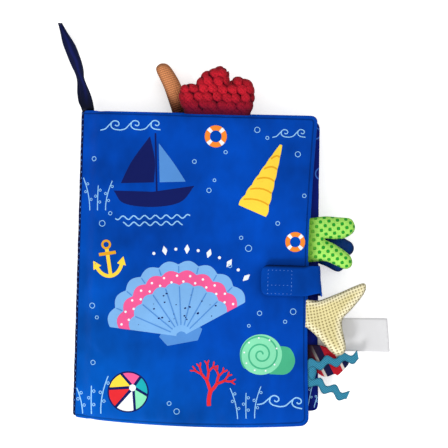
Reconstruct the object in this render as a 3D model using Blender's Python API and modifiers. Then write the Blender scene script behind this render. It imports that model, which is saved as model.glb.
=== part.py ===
"""Crinkle cloth book: four padded cloth leaves joined along a spine seam, closed by a strap, with stuffed
tails, ribbons and a label sewn into the leaf edges.

The closed book lies on its back cover. +Z is up, +Y points to the head of the book and the spine is at -X.
The origin is the middle of the back cover's width and height, on its underside. Lengths are in metres.
"""
import math

import bmesh
import bpy
import numpy as np
from mathutils import Matrix, Vector
from mathutils.geometry import delaunay_2d_cdt

# Covers and inner leaves
COVER_WIDTH = 0.1802
COVER_HEIGHT = 0.243
FORE_EDGE_BOW = 0.0036
FOOT_BOW = 0.0040
HEAD_CORNER_RADIUS = 0.0045
FOOT_CORNER_RADIUS = 0.0060
LEAF_HEIGHT = 0.2243
LEAF_RAISE = 0.00535
LEAF_CORNER_RADIUS = 0.0040
LEAF_HEAD_OVERHANG = 0.0018
LEAF_FOOT_OVERHANG = 0.0072
LEAF_STEP = 0.0008

# Layers of one leaf
CLOTH = 0.0006
PLY_GAP = 0.0003
LEAF_CROWN = 0.00235
PILLOW_EDGE = 0.0095
LEAF_GAP = 0.0003
PAD_INSET = 0.0120
PAD_THICKNESS = 0.0026
PAD_CORNER = 0.0100
PAD_CHAMFER = 0.0006
FILM_INSET = 0.0140
FILM_THICKNESS = 0.00025
FILM_CRINKLE = 0.00028
FILM_WAVE = 0.029
CREASE_DEPTH = 0.00032
CREASE_WAVE = 0.019
CREASE_REACH = 0.016

# Spine seam that the leaves turn about
PIPING_RADIUS = 0.00145
PIPING_MARGIN = 0.0010
PIPING_HEAD_REACH = 0.0001
SEAM_REACH = 0.0019
SEAM_SPARE = 0.0001
SEAM_FLAT = 0.0006
SEAM_FLARE = 0.0125

# Mesh steps
EDGE_STEP = 0.024
FACE_EDGE_STEP = 0.0095
FACE_STEP = 0.0150
TAIL_EDGE_STEP = 0.0038
TAIL_STEP = 0.0048
BOBBLE_STEP = 0.0023
STRIP_STEP = 0.0080

# Strap
STRAP_WIDTH = 0.0238
STRAP_THICKNESS = 0.0012
STRAP_LAP = 0.0400
STRAP_DROP = 0.0060
STRAP_CORNER = 0.0060
STRAP_FOLD = 0.0030
STRAP_CLEARANCE = 0.0004
PATCH_LENGTH = 0.0190
PATCH_WIDTH = 0.0120
PATCH_CORNER = 0.0015
PATCH_THICKNESS = 0.0009
PATCH_SETBACK = 0.0040
FIT_GAP = 0.0003

# Carrying loop
LOOP_BAND = 0.0095
LOOP_CLOTH = 0.0008
LOOP_LENGTH = 0.0690
LOOP_LEAN = 0.0245
LOOP_RISE = 0.0060
LOOP_ROOT_GAP = 0.00045
LOOP_SAG = 0.0045
LOOP_INSET = 0.0038
LOOP_AXIS_SETBACK = 0.0020
LOOP_SPLAY = 0.0022
LOOP_POINTS = 26

# Tails: length from the seam, half width of the root, swell over the seam and what the free end sinks by
GREEN_LENGTH, GREEN_ROOT, GREEN_CROWN, GREEN_SINK, GREEN_PLACE = 0.0351, 0.01725, 0.0043, 0.0020, 0.0257
NAVY_LENGTH, NAVY_ROOT, NAVY_CROWN, NAVY_SINK, NAVY_PLACE = 0.0288, 0.0120, 0.0031, 0.0014, 0.0190
CREAM_LENGTH, CREAM_ROOT, CREAM_CROWN, CREAM_SINK, CREAM_PLACE = 0.0450, 0.0107, 0.0007, 0.0006, -0.0310
RED_LENGTH, RED_ROOT, RED_CROWN, RED_SINK, RED_PLACE = 0.0366, 0.0257, 0.0040, 0.0050, 0.0125
ORANGE_LENGTH, ORANGE_ROOT, ORANGE_CROWN, ORANGE_SINK, ORANGE_PLACE = 0.0425, 0.0062, 0.0053, 0.0024, -0.0162
SWELL_RADIUS = 0.0070
FLAT_SWELL_RADIUS = 0.0040
ROUND_SWELL_RADIUS = 0.0062
ROOT_RAMP = 0.0090
OVERHANG_RAMP = 0.0125
ORANGE_NECK = 0.0042
ROOT_GAP = 0.0003
STUFFING_INSET = 0.0024
STUFFING_GAP = 0.0011
STUFFING_RIM = 0.0002
BOBBLE_PITCH = 0.0074
BOBBLE_RISE = 0.0017
TAIL_CLOTH = 0.0006
CREAM_CLOTH = 0.0005
CREAM_LIFT = 0.0007
HINGE_MARGIN = 0.00005

# Ribbons and label
RICRAC_THICKNESS = 0.0009
RICRAC_BAND = 0.0068
RICRAC_WAVE = 0.0128
RICRAC_SWAY = 0.0019
RICRAC_REACH = 0.0393
RICRAC_LEG_ROOT = 0.0046
RICRAC_ROOT_PLACE = -0.0770
RICRAC_UPPER_RISE = 0.0135
RICRAC_LOWER_FALL = 0.0185
RICRAC_LOWER_REACH = 0.0318
RICRAC_SINK = 0.0018
STRIPED_THICKNESS = 0.0006
STRIPED_LENGTH, STRIPED_ROOT, STRIPED_PLACE, STRIPED_SINK = 0.0329, 0.0062, -0.0617, 0.0018
LABEL_THICKNESS = 0.0005
LABEL_LENGTH, LABEL_ROOT, LABEL_PLACE, LABEL_SINK = 0.0569, 0.0128, -0.0468, 0.0075
RIBBON_GAP = 0.00025

# Outlines, as shares of the length (outwards) and of the root's half width (sideways)
GREEN_SHARES = (
    (0.0, 1.0), (0.32, 1.10), (0.62, 1.09), (0.87, 1.07), (0.965, 0.86), (0.99, 0.64), (0.94, 0.41),
    (0.775, 0.18), (0.56, 0.10), (0.335, 0.08), (0.55, -0.145), (0.83, -0.54), (0.935, -0.82),
    (0.93, -1.13), (0.81, -1.27), (0.655, -1.18), (0.38, -0.94), (0.20, -0.93), (0.0, -1.0),
)
NAVY_SHARES = (
    (0.0, 0.95), (0.35, 1.0), (0.67, 0.84), (0.80, 0.68), (0.91, 0.56), (0.995, 0.25), (0.97, -0.11),
    (0.84, -0.36), (0.66, -0.33), (0.52, -0.28), (0.66, -0.62), (0.76, -1.0), (0.70, -1.32),
    (0.555, -1.48), (0.255, -1.17), (0.0, -0.90),
)
CREAM_SHARES = (
    (0.0, 1.0), (0.18, 0.97), (0.54, 1.55), (0.757, 1.98), (0.945, 2.29), (0.995, 2.05), (0.965, 1.57),
    (0.88, 1.04), (0.74, 0.31), (0.60, -0.37), (0.605, -1.08), (0.646, -1.79), (0.675, -2.45),
    (0.62, -2.88), (0.512, -2.95), (0.412, -2.68), (0.274, -2.09), (0.138, -1.55), (0.0, -1.06),
)
RED_SHARES = (
    (0.0, -1.0), (0.336, -1.152), (0.563, -1.074), (0.62, -0.88), (0.61, -0.68), (0.71, -0.60),
    (0.858, -0.44), (0.943, -0.18), (0.99, 0.109), (0.891, 0.30), (0.65, 0.35), (0.79, 0.56),
    (0.735, 0.81), (0.661, 1.02), (0.415, 1.093), (0.183, 1.066), (0.0, 1.0),
)
ORANGE_SHARES = (
    (0.0, -0.80), (0.115, -1.08), (0.34, -1.62), (0.57, -2.21), (0.867, -3.21), (0.966, -2.95),
    (0.998, -2.355), (0.935, -1.45), (0.596, 0.0), (0.303, 0.42), (0.115, 0.55), (0.0, 0.75),
)
STRIPED_SHARES = (
    (0.0, 1.0), (0.35, 0.92), (0.645, 0.19), (0.884, -0.53), (1.0, -1.19), (0.86, -2.18), (0.734, -2.8),
    (0.669, -2.6), (0.46, -3.0), (0.263, -2.53), (0.107, -1.58), (0.0, -1.0),
)
LABEL_SHARES = ((0.0, 0.95), (0.95, 1.02), (1.0, -1.05), (0.0, -1.03))

# Levels of the leaves, counted from the back cover
BACK, LEAF_TWO, LEAF_ONE, FRONT = range(4)
LEVELS = 4

# Heights worked out from the layers
EDGE_HALF = CLOTH + PLY_GAP / 2
LEAF_THICKNESS = 2 * (EDGE_HALF + LEAF_CROWN)
LEAF_PITCH = LEAF_THICKNESS + LEAF_GAP
SEAM_PITCH = 2 * EDGE_HALF + LEAF_GAP + SEAM_SPARE
BLOCK_HEIGHT = LEVELS * LEAF_THICKNESS + (LEVELS - 1) * LEAF_GAP
SEAM_Z = BLOCK_HEIGHT / 2
GUTTER_X = -COVER_WIDTH / 2
SEAM_X = GUTTER_X - SEAM_REACH
FORE_X = COVER_WIDTH / 2
HEAD_Y = COVER_HEIGHT / 2

COLOURS = {
    "cover": ((0.004, 0.062, 0.46), 0.42),
    "page": ((0.006, 0.012, 0.16), 0.50),
    "wadding": ((0.85, 0.85, 0.83), 0.90),
    "film": ((0.80, 0.82, 0.85), 0.25),
    "piping": ((0.006, 0.010, 0.09), 0.55),
    "satin": ((0.010, 0.014, 0.11), 0.35),
    "strap": ((0.004, 0.070, 0.48), 0.50),
    "hook": ((0.010, 0.050, 0.30), 0.80),
    "red": ((0.60, 0.018, 0.045), 0.85),
    "orange": ((0.68, 0.30, 0.10), 0.80),
    "green": ((0.30, 0.72, 0.08), 0.75),
    "cream": ((0.91, 0.85, 0.52), 0.75),
    "label": ((0.72, 0.73, 0.72), 0.45),
    "teal": ((0.03, 0.26, 0.42), 0.60),
    "striped": ((0.50, 0.02, 0.03), 0.60),
}


def smooth(t):
    """Smoothstep of t, held between 0 and 1."""
    t = np.clip(t, 0.0, 1.0)
    return t * t * (3 - 2 * t)


def pillow(t):
    """Quarter-ellipse rise from 0 at t = 0 to 1 at t = 1 and over."""
    t = np.clip(t, 0.0, 1.0)
    return np.sqrt(1 - (1 - t) ** 2)


def clear_scene():
    for obj in list(bpy.data.objects):
        bpy.data.objects.remove(obj, do_unlink=True)
    for collection in list(bpy.data.collections):
        bpy.data.collections.remove(collection)


def material(key):
    """The Principled material of one kind of cloth, made once."""
    found = bpy.data.materials.get(key)
    if found:
        return found
    made = bpy.data.materials.new(key)
    made.use_nodes = True
    colour, roughness = COLOURS[key]
    shader = made.node_tree.nodes["Principled BSDF"]
    shader.inputs["Base Color"].default_value = (*colour, 1.0)
    shader.inputs["Roughness"].default_value = roughness
    shader.inputs["Metallic"].default_value = 0.0
    made.diffuse_color = (*colour, 1.0)
    return made


class Book:
    """The collection that takes the pieces, and the empties that stand on the joint axes."""

    def __init__(self):
        self.collection = bpy.data.collections.new("crinkle_cloth_book")
        bpy.context.scene.collection.children.link(self.collection)

    def pivot(self, name, place, parent=None):
        """An empty on a joint's axis."""
        empty = bpy.data.objects.new(name, None)
        self.collection.objects.link(empty)
        empty.parent = parent
        empty["seat"] = place
        carried = Vector(parent["seat"]) if parent else Vector()
        empty.location = Vector(place) - carried
        return empty

    def add(self, obj, key, parent=None):
        """Link a piece whose mesh is in world place, and hang it on its pivot."""
        if obj.name not in self.collection.objects:
            self.collection.objects.link(obj)
        obj.data.materials.clear()
        obj.data.materials.append(material(key))
        if parent:
            seat = Vector(parent["seat"])
            if obj.type == "MESH":
                obj.data.transform(Matrix.Translation(-seat))
            else:
                obj.location = obj.location - seat
            obj.parent = parent
        return obj


def resampled(points, step):
    """Points about step apart along an open chain, its ends kept."""
    points = np.asarray(points, float)
    lengths = np.linalg.norm(np.diff(points, axis=0), axis=1)
    along = np.concatenate([[0], np.cumsum(lengths)])
    count = max(2, int(round(along[-1] / step)) + 1)
    at = np.linspace(0, along[-1], count)
    return np.stack([np.interp(at, along, points[:, k]) for k in (0, 1)], axis=1)


def spline(points, steps=8):
    """A Catmull-Rom curve through an open chain of points."""
    points = [np.asarray(p, float) for p in points]
    ends = [2 * points[0] - points[1]] + points + [2 * points[-1] - points[-2]]
    made = []
    for a, b, c, d in zip(ends, ends[1:], ends[2:], ends[3:]):
        for k in range(steps):
            t = k / steps
            made.append(
                0.5 * (2 * b + (c - a) * t + (2 * a - 5 * b + 4 * c - d) * t**2 + (3 * b - a - 3 * c + d) * t**3)
            )
    made.append(points[-1])
    return np.array(made)


def arc(centre, radius, start, end, count):
    """Points of an arc between two angles in quarter turns."""
    turns = np.linspace(start, end, count) * math.pi / 2
    return np.stack([centre[0] + radius * np.cos(turns), centre[1] + radius * np.sin(turns)], axis=1)


def chain_distance(points, chain):
    """The distance of each point from an open chain."""
    points, chain = np.asarray(points, float), np.asarray(chain, float)
    best = np.full(len(points), np.inf)
    for a, b in zip(chain[:-1], chain[1:]):
        along = b - a
        share = np.clip(((points - a) @ along) / max(along @ along, 1e-18), 0, 1)
        best = np.minimum(best, np.linalg.norm(points - a - share[:, None] * along, axis=1))
    return best


def inside(points, outline):
    """Which points lie in a closed outline."""
    hit = np.zeros(len(points), bool)
    x, y = points[:, 0], points[:, 1]
    for (ax, ay), (bx, by) in zip(outline, np.roll(outline, -1, axis=0)):
        crosses = (ay > y) != (by > y)
        if ay != by:
            hit ^= crosses & (x < (bx - ax) * (y - ay) / (by - ay) + ax)
    return hit


def turning_left(outline):
    """The outline, counter-clockwise."""
    x, y = outline[:, 0], outline[:, 1]
    area = (x * np.roll(y, -1) - np.roll(x, -1) * y).sum()
    return outline if area > 0 else outline[::-1]


def inset_ring(outline, distance):
    """Points that lie inside a closed outline, at one distance from it."""
    closed = np.vstack([outline, outline[:1]])
    along = np.roll(outline, -1, axis=0) - np.roll(outline, 1, axis=0)
    along /= np.linalg.norm(along, axis=1)[:, None]
    ring = outline + distance * np.stack([-along[:, 1], along[:, 0]], axis=1)
    keep = inside(ring, outline) & (chain_distance(ring, closed) > 0.93 * distance)
    return ring[keep]


def lattice(outline, step, margin):
    """Triangular lattice points inside an outline that keep a margin to it."""
    low, high = outline.min(axis=0), outline.max(axis=0)
    rows = int((high[1] - low[1]) / (step * math.sqrt(0.75))) + 1
    columns = int((high[0] - low[0]) / step) + 2
    points = np.array([
        (low[0] + (i + 0.5 * (j % 2)) * step, low[1] + j * step * math.sqrt(0.75))
        for j in range(rows + 1) for i in range(columns)
    ])
    closed = np.vstack([outline, outline[:1]])
    return points[inside(points, outline) & (chain_distance(points, closed) > margin)]


def filled(outline, extra, lines=()):
    """Triangles over a closed outline that use the extra points inside it and follow the lines across it."""
    count = len(outline)
    edges = [(i, (i + 1) % count) for i in range(count)]
    groups = [outline]
    for line in lines:
        edges += [(count + i, count + i + 1) for i in range(len(line) - 1)]
        count += len(line)
        groups.append(line)
    points = np.vstack(groups + [e for e in extra if len(e)])
    verts, _, faces, *_ = delaunay_2d_cdt([Vector(p) for p in points], edges, [], 1, 1e-7)
    flat = np.array([tuple(v) for v in verts])
    turned = []
    for face in faces:
        a, b, c = (flat[i] for i in face)
        across = (b[0] - a[0]) * (c[1] - a[1]) - (b[1] - a[1]) * (c[0] - a[0])
        turned.append(tuple(face) if across > 0 else tuple(reversed(face)))
    return flat, turned


def surface(name, flat, faces, places, up=True):
    """An open surface: one 3D place for each flat point."""
    mesh = bpy.data.meshes.new(name)
    faces = faces if up else [tuple(reversed(f)) for f in faces]
    mesh.from_pydata([tuple(map(float, p)) for p in places], [], faces)
    mesh.update()
    mesh.shade_smooth()
    return bpy.data.objects.new(name, mesh)


def thicken(obj, thickness, offset=-1.0):
    """Give an open surface its cloth thickness."""
    shell = obj.modifiers.new("cloth", "SOLIDIFY")
    shell.thickness = thickness
    shell.offset = offset
    shell.use_rim = True
    return obj


def seam_share(x):
    """0 at the spine seam and 1 where the leaf has its full thickness."""
    return smooth((x - GUTTER_X - SEAM_FLAT) / SEAM_FLARE)


def leaf_middle(level, x):
    """Height of a leaf's middle plane, which runs down or up to the spine seam."""
    step = SEAM_PITCH + (LEAF_PITCH - SEAM_PITCH) * seam_share(x)
    return SEAM_Z + (level - (LEVELS - 1) / 2) * step


def level_z(level):
    """Height of a leaf's middle plane away from the spine."""
    return LEAF_THICKNESS / 2 + level * LEAF_PITCH


def fore_edge(level, y):
    """The x of a leaf's fore-edge at a height y on the page."""
    if level in (FRONT, BACK):
        return FORE_X - FORE_EDGE_BOW * (1 - np.clip(y / HEAD_Y, -1, 1) ** 2)
    head, foot = leaf_ends(level)
    share = (head - y) / (head - foot)
    reach = LEAF_HEAD_OVERHANG + (LEAF_FOOT_OVERHANG - LEAF_HEAD_OVERHANG) * share
    return FORE_X + reach - (LEAF_STEP if level == LEAF_TWO else 0)


def leaf_ends(level):
    """The head and foot of a leaf along Y."""
    if level in (FRONT, BACK):
        return HEAD_Y, -HEAD_Y
    return LEAF_RAISE + LEAF_HEIGHT / 2, LEAF_RAISE - LEAF_HEIGHT / 2


def leaf_outline(level, step):
    """A leaf's outline without its gutter edge, and the columns that shape the gutter."""
    head, foot = leaf_ends(level)
    cover = level in (FRONT, BACK)
    r_foot = FOOT_CORNER_RADIUS if cover else LEAF_CORNER_RADIUS
    r_head = HEAD_CORNER_RADIUS if cover else LEAF_CORNER_RADIUS
    columns = GUTTER_X + SEAM_FLAT + SEAM_FLARE * np.array([0.0, 0.16, 0.34, 0.54, 0.76, 1.0])
    foot_x = fore_edge(level, foot + r_foot)
    head_x = fore_edge(level, head - r_head)
    bow = FOOT_BOW if cover else 0.0

    def foot_line(x):
        share = np.clip((x - GUTTER_X) / (FORE_X - GUTTER_X), 0, 1)
        return foot + bow * (1 - 4 * share * (1 - share))

    plain = np.arange(columns[-1] + step, foot_x - r_foot - step / 2, step)
    lower_x = np.concatenate([[GUTTER_X], columns, plain])
    lower = np.stack([lower_x, foot_line(lower_x)], axis=1)
    foot_y = foot_line(np.array(foot_x - r_foot))
    corner = arc((foot_x - r_foot, foot_y + r_foot), r_foot, 3, 4, 6)
    side_y = np.linspace(foot_y + r_foot, head - r_head, max(3, int((head - foot) / step)))[1:-1]
    side = np.stack([fore_edge(level, side_y), side_y], axis=1)
    top_corner = arc((head_x - r_head, head - r_head), r_head, 0, 1, 5)
    plain = np.arange(columns[-1] + step, head_x - r_head - step / 2, step)[::-1]
    upper_x = np.concatenate([plain, columns[::-1], [GUTTER_X]])
    upper = np.stack([upper_x, np.full(len(upper_x), head)], axis=1)
    chain = np.vstack([lower, corner, side, top_corner, upper])
    return chain, columns


def leaf_mesh(level, fine):
    """Flat points, triangles and edge distances for a leaf's plies."""
    chain, columns = leaf_outline(level, FACE_EDGE_STEP if fine else EDGE_STEP)
    head, foot = chain[-1, 1], chain[0, 1]
    gap = EDGE_STEP
    gutter_y = np.linspace(head, foot, int((head - foot) / gap) + 1)[1:-1]
    outline = np.vstack([chain, np.stack([np.full(len(gutter_y), GUTTER_X), gutter_y], axis=1)])
    outline = turning_left(outline)
    full_x = columns[-1]
    extra = []
    rings = (0.15, 0.45, 1.0)
    for share in rings:
        ring = inset_ring(outline, PILLOW_EDGE * share)
        extra.append(ring[ring[:, 0] > full_x + PILLOW_EDGE / 2])
    lines = []
    for x in columns:
        low = chain[np.argmin(np.abs(chain[:, 0] - x) + (chain[:, 1] > 0)), 1]
        near = PILLOW_EDGE * np.array([0.0, *rings[:2]])
        span = np.linspace(low + PILLOW_EDGE, head - PILLOW_EDGE, int((head - foot) / gap))
        y = np.concatenate([low + near, span, head - near[::-1]])
        lines.append(np.stack([np.full(len(y), x), y], axis=1))
    if fine:
        grid = lattice(outline, FACE_STEP, PILLOW_EDGE + FACE_STEP / 3)
        extra.append(grid[grid[:, 0] > full_x + FACE_STEP / 3])
    flat, faces = filled(outline, extra, lines)
    return flat, faces, chain_distance(flat, chain)


def crease(x, y, distance):
    """Shallow puckers that the seam draws into the front cloth near its edges."""
    along = np.where(np.abs(y) > HEAD_Y - CREASE_REACH, x, y)
    band = smooth(distance / (CREASE_REACH / 4)) * (1 - smooth((distance - CREASE_REACH / 4) / CREASE_REACH))
    slow = 0.6 + 0.4 * np.sin(2 * math.pi * along / (CREASE_WAVE * 3.3))
    under_strap = smooth((np.abs(y + STRAP_DROP) - STRAP_WIDTH / 2) / CREASE_REACH)
    return -CREASE_DEPTH * band * slow * (1 + np.sin(2 * math.pi * along / CREASE_WAVE)) * under_strap


def make_leaf(book, level, title, parent, outer, inner):
    """Face cloth, reverse cloth, wadding and crinkle film of one leaf, as named objects."""
    for side, key in ((1, outer), (-1, inner)):
        fine = level == FRONT and side == 1
        flat, faces, distance = leaf_mesh(level, fine)
        x, y = flat[:, 0], flat[:, 1]
        swell = EDGE_HALF + LEAF_CROWN * pillow(distance / PILLOW_EDGE) * seam_share(x)
        if fine:
            swell = swell + crease(x, y, distance) * seam_share(x)
        z = leaf_middle(level, x) + side * swell
        name = f"{title}_{'face' if side == 1 else 'reverse'}_cloth"
        ply = surface(name, flat, faces, np.column_stack([x, y, z]), up=side == 1)
        book.add(thicken(ply, CLOTH), key, parent)
    middle = level_z(level)
    floor_z = middle - LEAF_THICKNESS / 2 + CLOTH + FIT_GAP
    book.add(make_wadding(f"{title}_wadding", level, floor_z), "wadding", parent)
    film_z = floor_z + PAD_THICKNESS + FIT_GAP + FILM_THICKNESS / 2 + FILM_CRINKLE
    book.add(make_film(f"{title}_crinkle_film", level, film_z), "film", parent)


def rounded_box(low, high, radius, count=4):
    """A rectangle's outline with rounded corners."""
    corners = (
        ((high[0] - radius, low[1] + radius), 3), ((high[0] - radius, high[1] - radius), 0),
        ((low[0] + radius, high[1] - radius), 1), ((low[0] + radius, low[1] + radius), 2),
    )
    return np.vstack([arc(c, radius, q, q + 1, count) for c, q in corners])


def flat_curve(name, outline, thickness, place_z, chamfer=0.0):
    """A flat outline as a filled 2D curve with an extrude."""
    curve = bpy.data.curves.new(name, "CURVE")
    curve.dimensions = "2D"
    curve.fill_mode = "BOTH"
    line = curve.splines.new("POLY")
    line.points.add(len(outline) - 1)
    for point, (x, y) in zip(line.points, outline):
        point.co = (float(x), float(y), 0.0, 1.0)
    line.use_cyclic_u = True
    curve.extrude = thickness / 2 - chamfer
    curve.bevel_depth = chamfer
    curve.bevel_resolution = 0
    curve.offset = -chamfer
    obj = bpy.data.objects.new(name, curve)
    obj.location.z = place_z
    return obj


def page_box(level, inset):
    """The inner rectangle of a leaf, inset from its free edges and clear of its sloping gutter."""
    head, foot = leaf_ends(level)
    fore = float(min(fore_edge(level, head), fore_edge(level, 0.0)))
    return (GUTTER_X + SEAM_FLAT + SEAM_FLARE, foot + inset), (fore - inset, head - inset)


def make_wadding(name, level, floor_z):
    """A soft slab with chamfered rims."""
    low, high = page_box(level, PAD_INSET)
    outline = rounded_box(low, high, PAD_CORNER)
    return flat_curve(name, outline, PAD_THICKNESS, floor_z + PAD_THICKNESS / 2, PAD_CHAMFER)


def make_film(name, level, film_z):
    """A thin film whose crinkles are two crossed waves."""
    low, high = page_box(level, FILM_INSET)
    outline = rounded_box(low, high, PAD_CORNER, 3)
    outline = turning_left(resampled(np.vstack([outline, outline[:1]]), EDGE_STEP)[:-1])
    flat, faces = filled(outline, [lattice(outline, FILM_WAVE / 2, FILM_WAVE / 4)])
    x, y = flat[:, 0], flat[:, 1]
    turn = 2 * math.pi / FILM_WAVE
    z = film_z + FILM_CRINKLE * np.sin(turn * (x + 0.6 * y)) * np.cos(turn * (y - 0.3 * x) / 1.4)
    film = surface(name, flat, faces, np.column_stack([x, y, z]))
    return thicken(film, FILM_THICKNESS, 0.0)


def make_piping(book):
    """The corded piping that runs down the spine seam."""
    curve = bpy.data.curves.new("spine_piping", "CURVE")
    curve.dimensions = "3D"
    line = curve.splines.new("POLY")
    ends = (-HEAD_Y + PIPING_MARGIN + FOOT_BOW, HEAD_Y + PIPING_HEAD_REACH)
    line.points.add(1)
    for point, y in zip(line.points, ends):
        point.co = (SEAM_X, y, SEAM_Z, 1.0)
    curve.bevel_depth = PIPING_RADIUS
    curve.bevel_resolution = 3
    curve.use_fill_caps = True
    book.add(bpy.data.objects.new("spine_piping", curve), "piping")


def tail_outline(shares, length, root, step):
    """A tail's outline in its own frame: u outwards from the seam, v along the seam. The root is straight."""
    corners = [(u * length, v * root) for u, v in shares]
    free = resampled(spline(corners), step)
    return free


class Tail:
    """Where a tail is sewn on, and which way it points.

    toward is 'right' for the fore-edge and 'head' for the top edge.
    """

    def __init__(self, toward, seam, place, z, length, sink):
        self.toward = toward
        self.seam = seam
        self.place = place
        self.z = z
        self.length = length
        self.sink = sink

    def world(self, flat, rise):
        """World places of points (u, v) that stand rise over the tail's middle plane."""
        u, v = flat[:, 0], flat[:, 1]
        z = self.z - self.sink * smooth(u / self.length) + rise
        if self.toward == "right":
            return np.column_stack([self.seam + u, self.place + v, z])
        return np.column_stack([self.place + v, self.seam + u, z])

    def up(self):
        """True where a counter-clockwise face in (u, v) points up."""
        return self.toward == "right"


def make_stuffed(book, title, tail, shares, root, crown, radius, key, parent, cloth=TAIL_CLOTH, bobbles=False,
                 stuffed=True, ramp=ROOT_RAMP, neck=0.0):
    """Front ply, back ply and stuffing of a tail sewn round its edge and open at its root.

    The tail stays flat over its neck and then swells over its ramp.
    """
    edge = cloth + PLY_GAP / 2
    for side in (1, -1):
        lumpy = bobbles and side == 1
        step = BOBBLE_STEP if lumpy else TAIL_STEP
        free = tail_outline(shares, tail.length, root, step if lumpy else TAIL_EDGE_STEP)
        base = resampled([free[-1], free[0]], TAIL_EDGE_STEP)[1:-1]
        outline = turning_left(np.vstack([free, base]))
        extra = [inset_ring(outline, radius / 5), lattice(outline, step, radius / 5 + step / 2)]
        flat, faces = filled(outline, extra)
        distance = chain_distance(flat, free)
        swell = crown * pillow(distance / radius) * smooth((flat[:, 0] - neck + ramp / 6) / ramp)
        if lumpy:
            swell = swell + bobble(flat) * pillow(distance / (radius / 2)) * smooth(flat[:, 0] / ramp)
        places = tail.world(flat, side * (edge + swell))
        name = f"{title}_{'front' if side == 1 else 'back'}_ply"
        ply = surface(name, flat, faces, places, up=(side == 1) == tail.up())
        book.add(thicken(ply, cloth), key, parent)
    if not stuffed:
        return
    filling = make_stuffing(f"{title}_stuffing", tail, shares, root, crown, radius, cloth, ramp, neck)
    book.add(filling, "wadding", parent)


def bobble(flat):
    """Rounded bobbles on a triangular lattice, as a rise over the ply."""
    row_step = BOBBLE_PITCH * math.sqrt(0.75)
    rise = np.zeros(len(flat))
    for shift in (0, 1):
        row = np.round((flat[:, 0] / row_step - shift) / 2) * 2 + shift
        column = np.round(flat[:, 1] / BOBBLE_PITCH - 0.5 * shift) + 0.5 * shift
        away = np.hypot(flat[:, 0] - row * row_step, flat[:, 1] - column * BOBBLE_PITCH)
        bulge = np.sqrt(np.clip(1 - (away / (BOBBLE_PITCH * 0.56)) ** 2, 0, 1))
        rise = np.maximum(rise, BOBBLE_RISE * bulge)
    return rise


def make_stuffing(name, tail, shares, root, crown, radius, cloth, ramp, neck):
    """The closed pad of filling between the two plies."""
    free = tail_outline(shares, tail.length, root, TAIL_EDGE_STEP)
    outline = turning_left(np.vstack([free, resampled([free[-1], free[0]], TAIL_EDGE_STEP)[1:-1]]))
    ring = inset_ring(outline, STUFFING_INSET)
    ring = turning_left(ring[ring[:, 0] > neck + ramp / 2])
    flat, faces = filled(ring, [lattice(ring, TAIL_STEP * 1.2, TAIL_STEP / 2)])
    closed = np.vstack([ring, ring[:1]])
    distance = chain_distance(flat, closed)
    edge = cloth + PLY_GAP / 2
    room = (edge + crown * pillow(chain_distance(flat, free) / radius)
            * smooth((flat[:, 0] - neck + ramp / 6) / ramp)) - cloth - STUFFING_GAP
    swell = STUFFING_RIM + np.maximum(room - STUFFING_RIM, 0.0) * pillow(distance / (radius / 2))
    mesh = bmesh.new()
    upper = [mesh.verts.new(p) for p in tail.world(flat, swell)]
    lower = [mesh.verts.new(p) for p in tail.world(flat, -swell)]
    for a, b, c in faces:
        mesh.faces.new((upper[a], upper[b], upper[c]))
        mesh.faces.new((lower[c], lower[b], lower[a]))
    count = len(ring)
    for i in range(count):
        j = (i + 1) % count
        mesh.faces.new((upper[i], lower[i], lower[j], upper[j]))
    bmesh.ops.recalc_face_normals(mesh, faces=mesh.faces)
    data = bpy.data.meshes.new(name)
    mesh.to_mesh(data)
    mesh.free()
    data.shade_smooth()
    return bpy.data.objects.new(name, data)


def make_ribbon(book, name, tail, outline, thickness, key, parent, bend=0.0):
    """A single layer of ribbon over a flat outline in the tail's frame."""
    outline = turning_left(outline)
    flat, faces = filled(outline, [lattice(outline, STRIP_STEP / 2, STRIP_STEP / 6)])
    rise = bend * np.sin(math.pi * flat[:, 0] / tail.length)
    ribbon = surface(name, flat, faces, tail.world(flat, rise))
    book.add(thicken(ribbon, thickness, 0.0), key, parent)


def ricrac_outline():
    """Two waving legs that leave one folded root, as one closed outline in (u, v)."""
    legs = []
    for sign, reach, run in (
        (1, RICRAC_REACH, RICRAC_UPPER_RISE), (-1, RICRAC_LOWER_REACH, RICRAC_LOWER_FALL),
    ):
        root = np.array([0.0, sign * RICRAC_LEG_ROOT])
        tip = np.array([reach, sign * run])
        length = np.linalg.norm(tip - root)
        along = (tip - root) / length
        across = np.array([-along[1], along[0]]) * sign
        s = np.linspace(0, length, int(length / RICRAC_WAVE * 7))
        middle = root + s[:, None] * along + (RICRAC_SWAY * np.sin(2 * math.pi * s / RICRAC_WAVE))[:, None] * across
        outer = middle + across * RICRAC_BAND / 2
        inner = middle - across * RICRAC_BAND / 2
        legs.append((outer, inner, s))
    (outer_a, inner_a, s_a), (outer_b, inner_b, s_b) = legs
    clear = RICRAC_WAVE * 0.85
    crotch = np.array([[RICRAC_WAVE * 0.62, 0.0]])
    upper_in, lower_in = inner_a[s_a > clear], inner_b[s_b > clear]
    outline = np.vstack([outer_a, upper_in[::-1], crotch, lower_in, outer_b[::-1]])
    outline[:, 0] = np.maximum(outline[:, 0], 0.0)
    return outline


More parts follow.
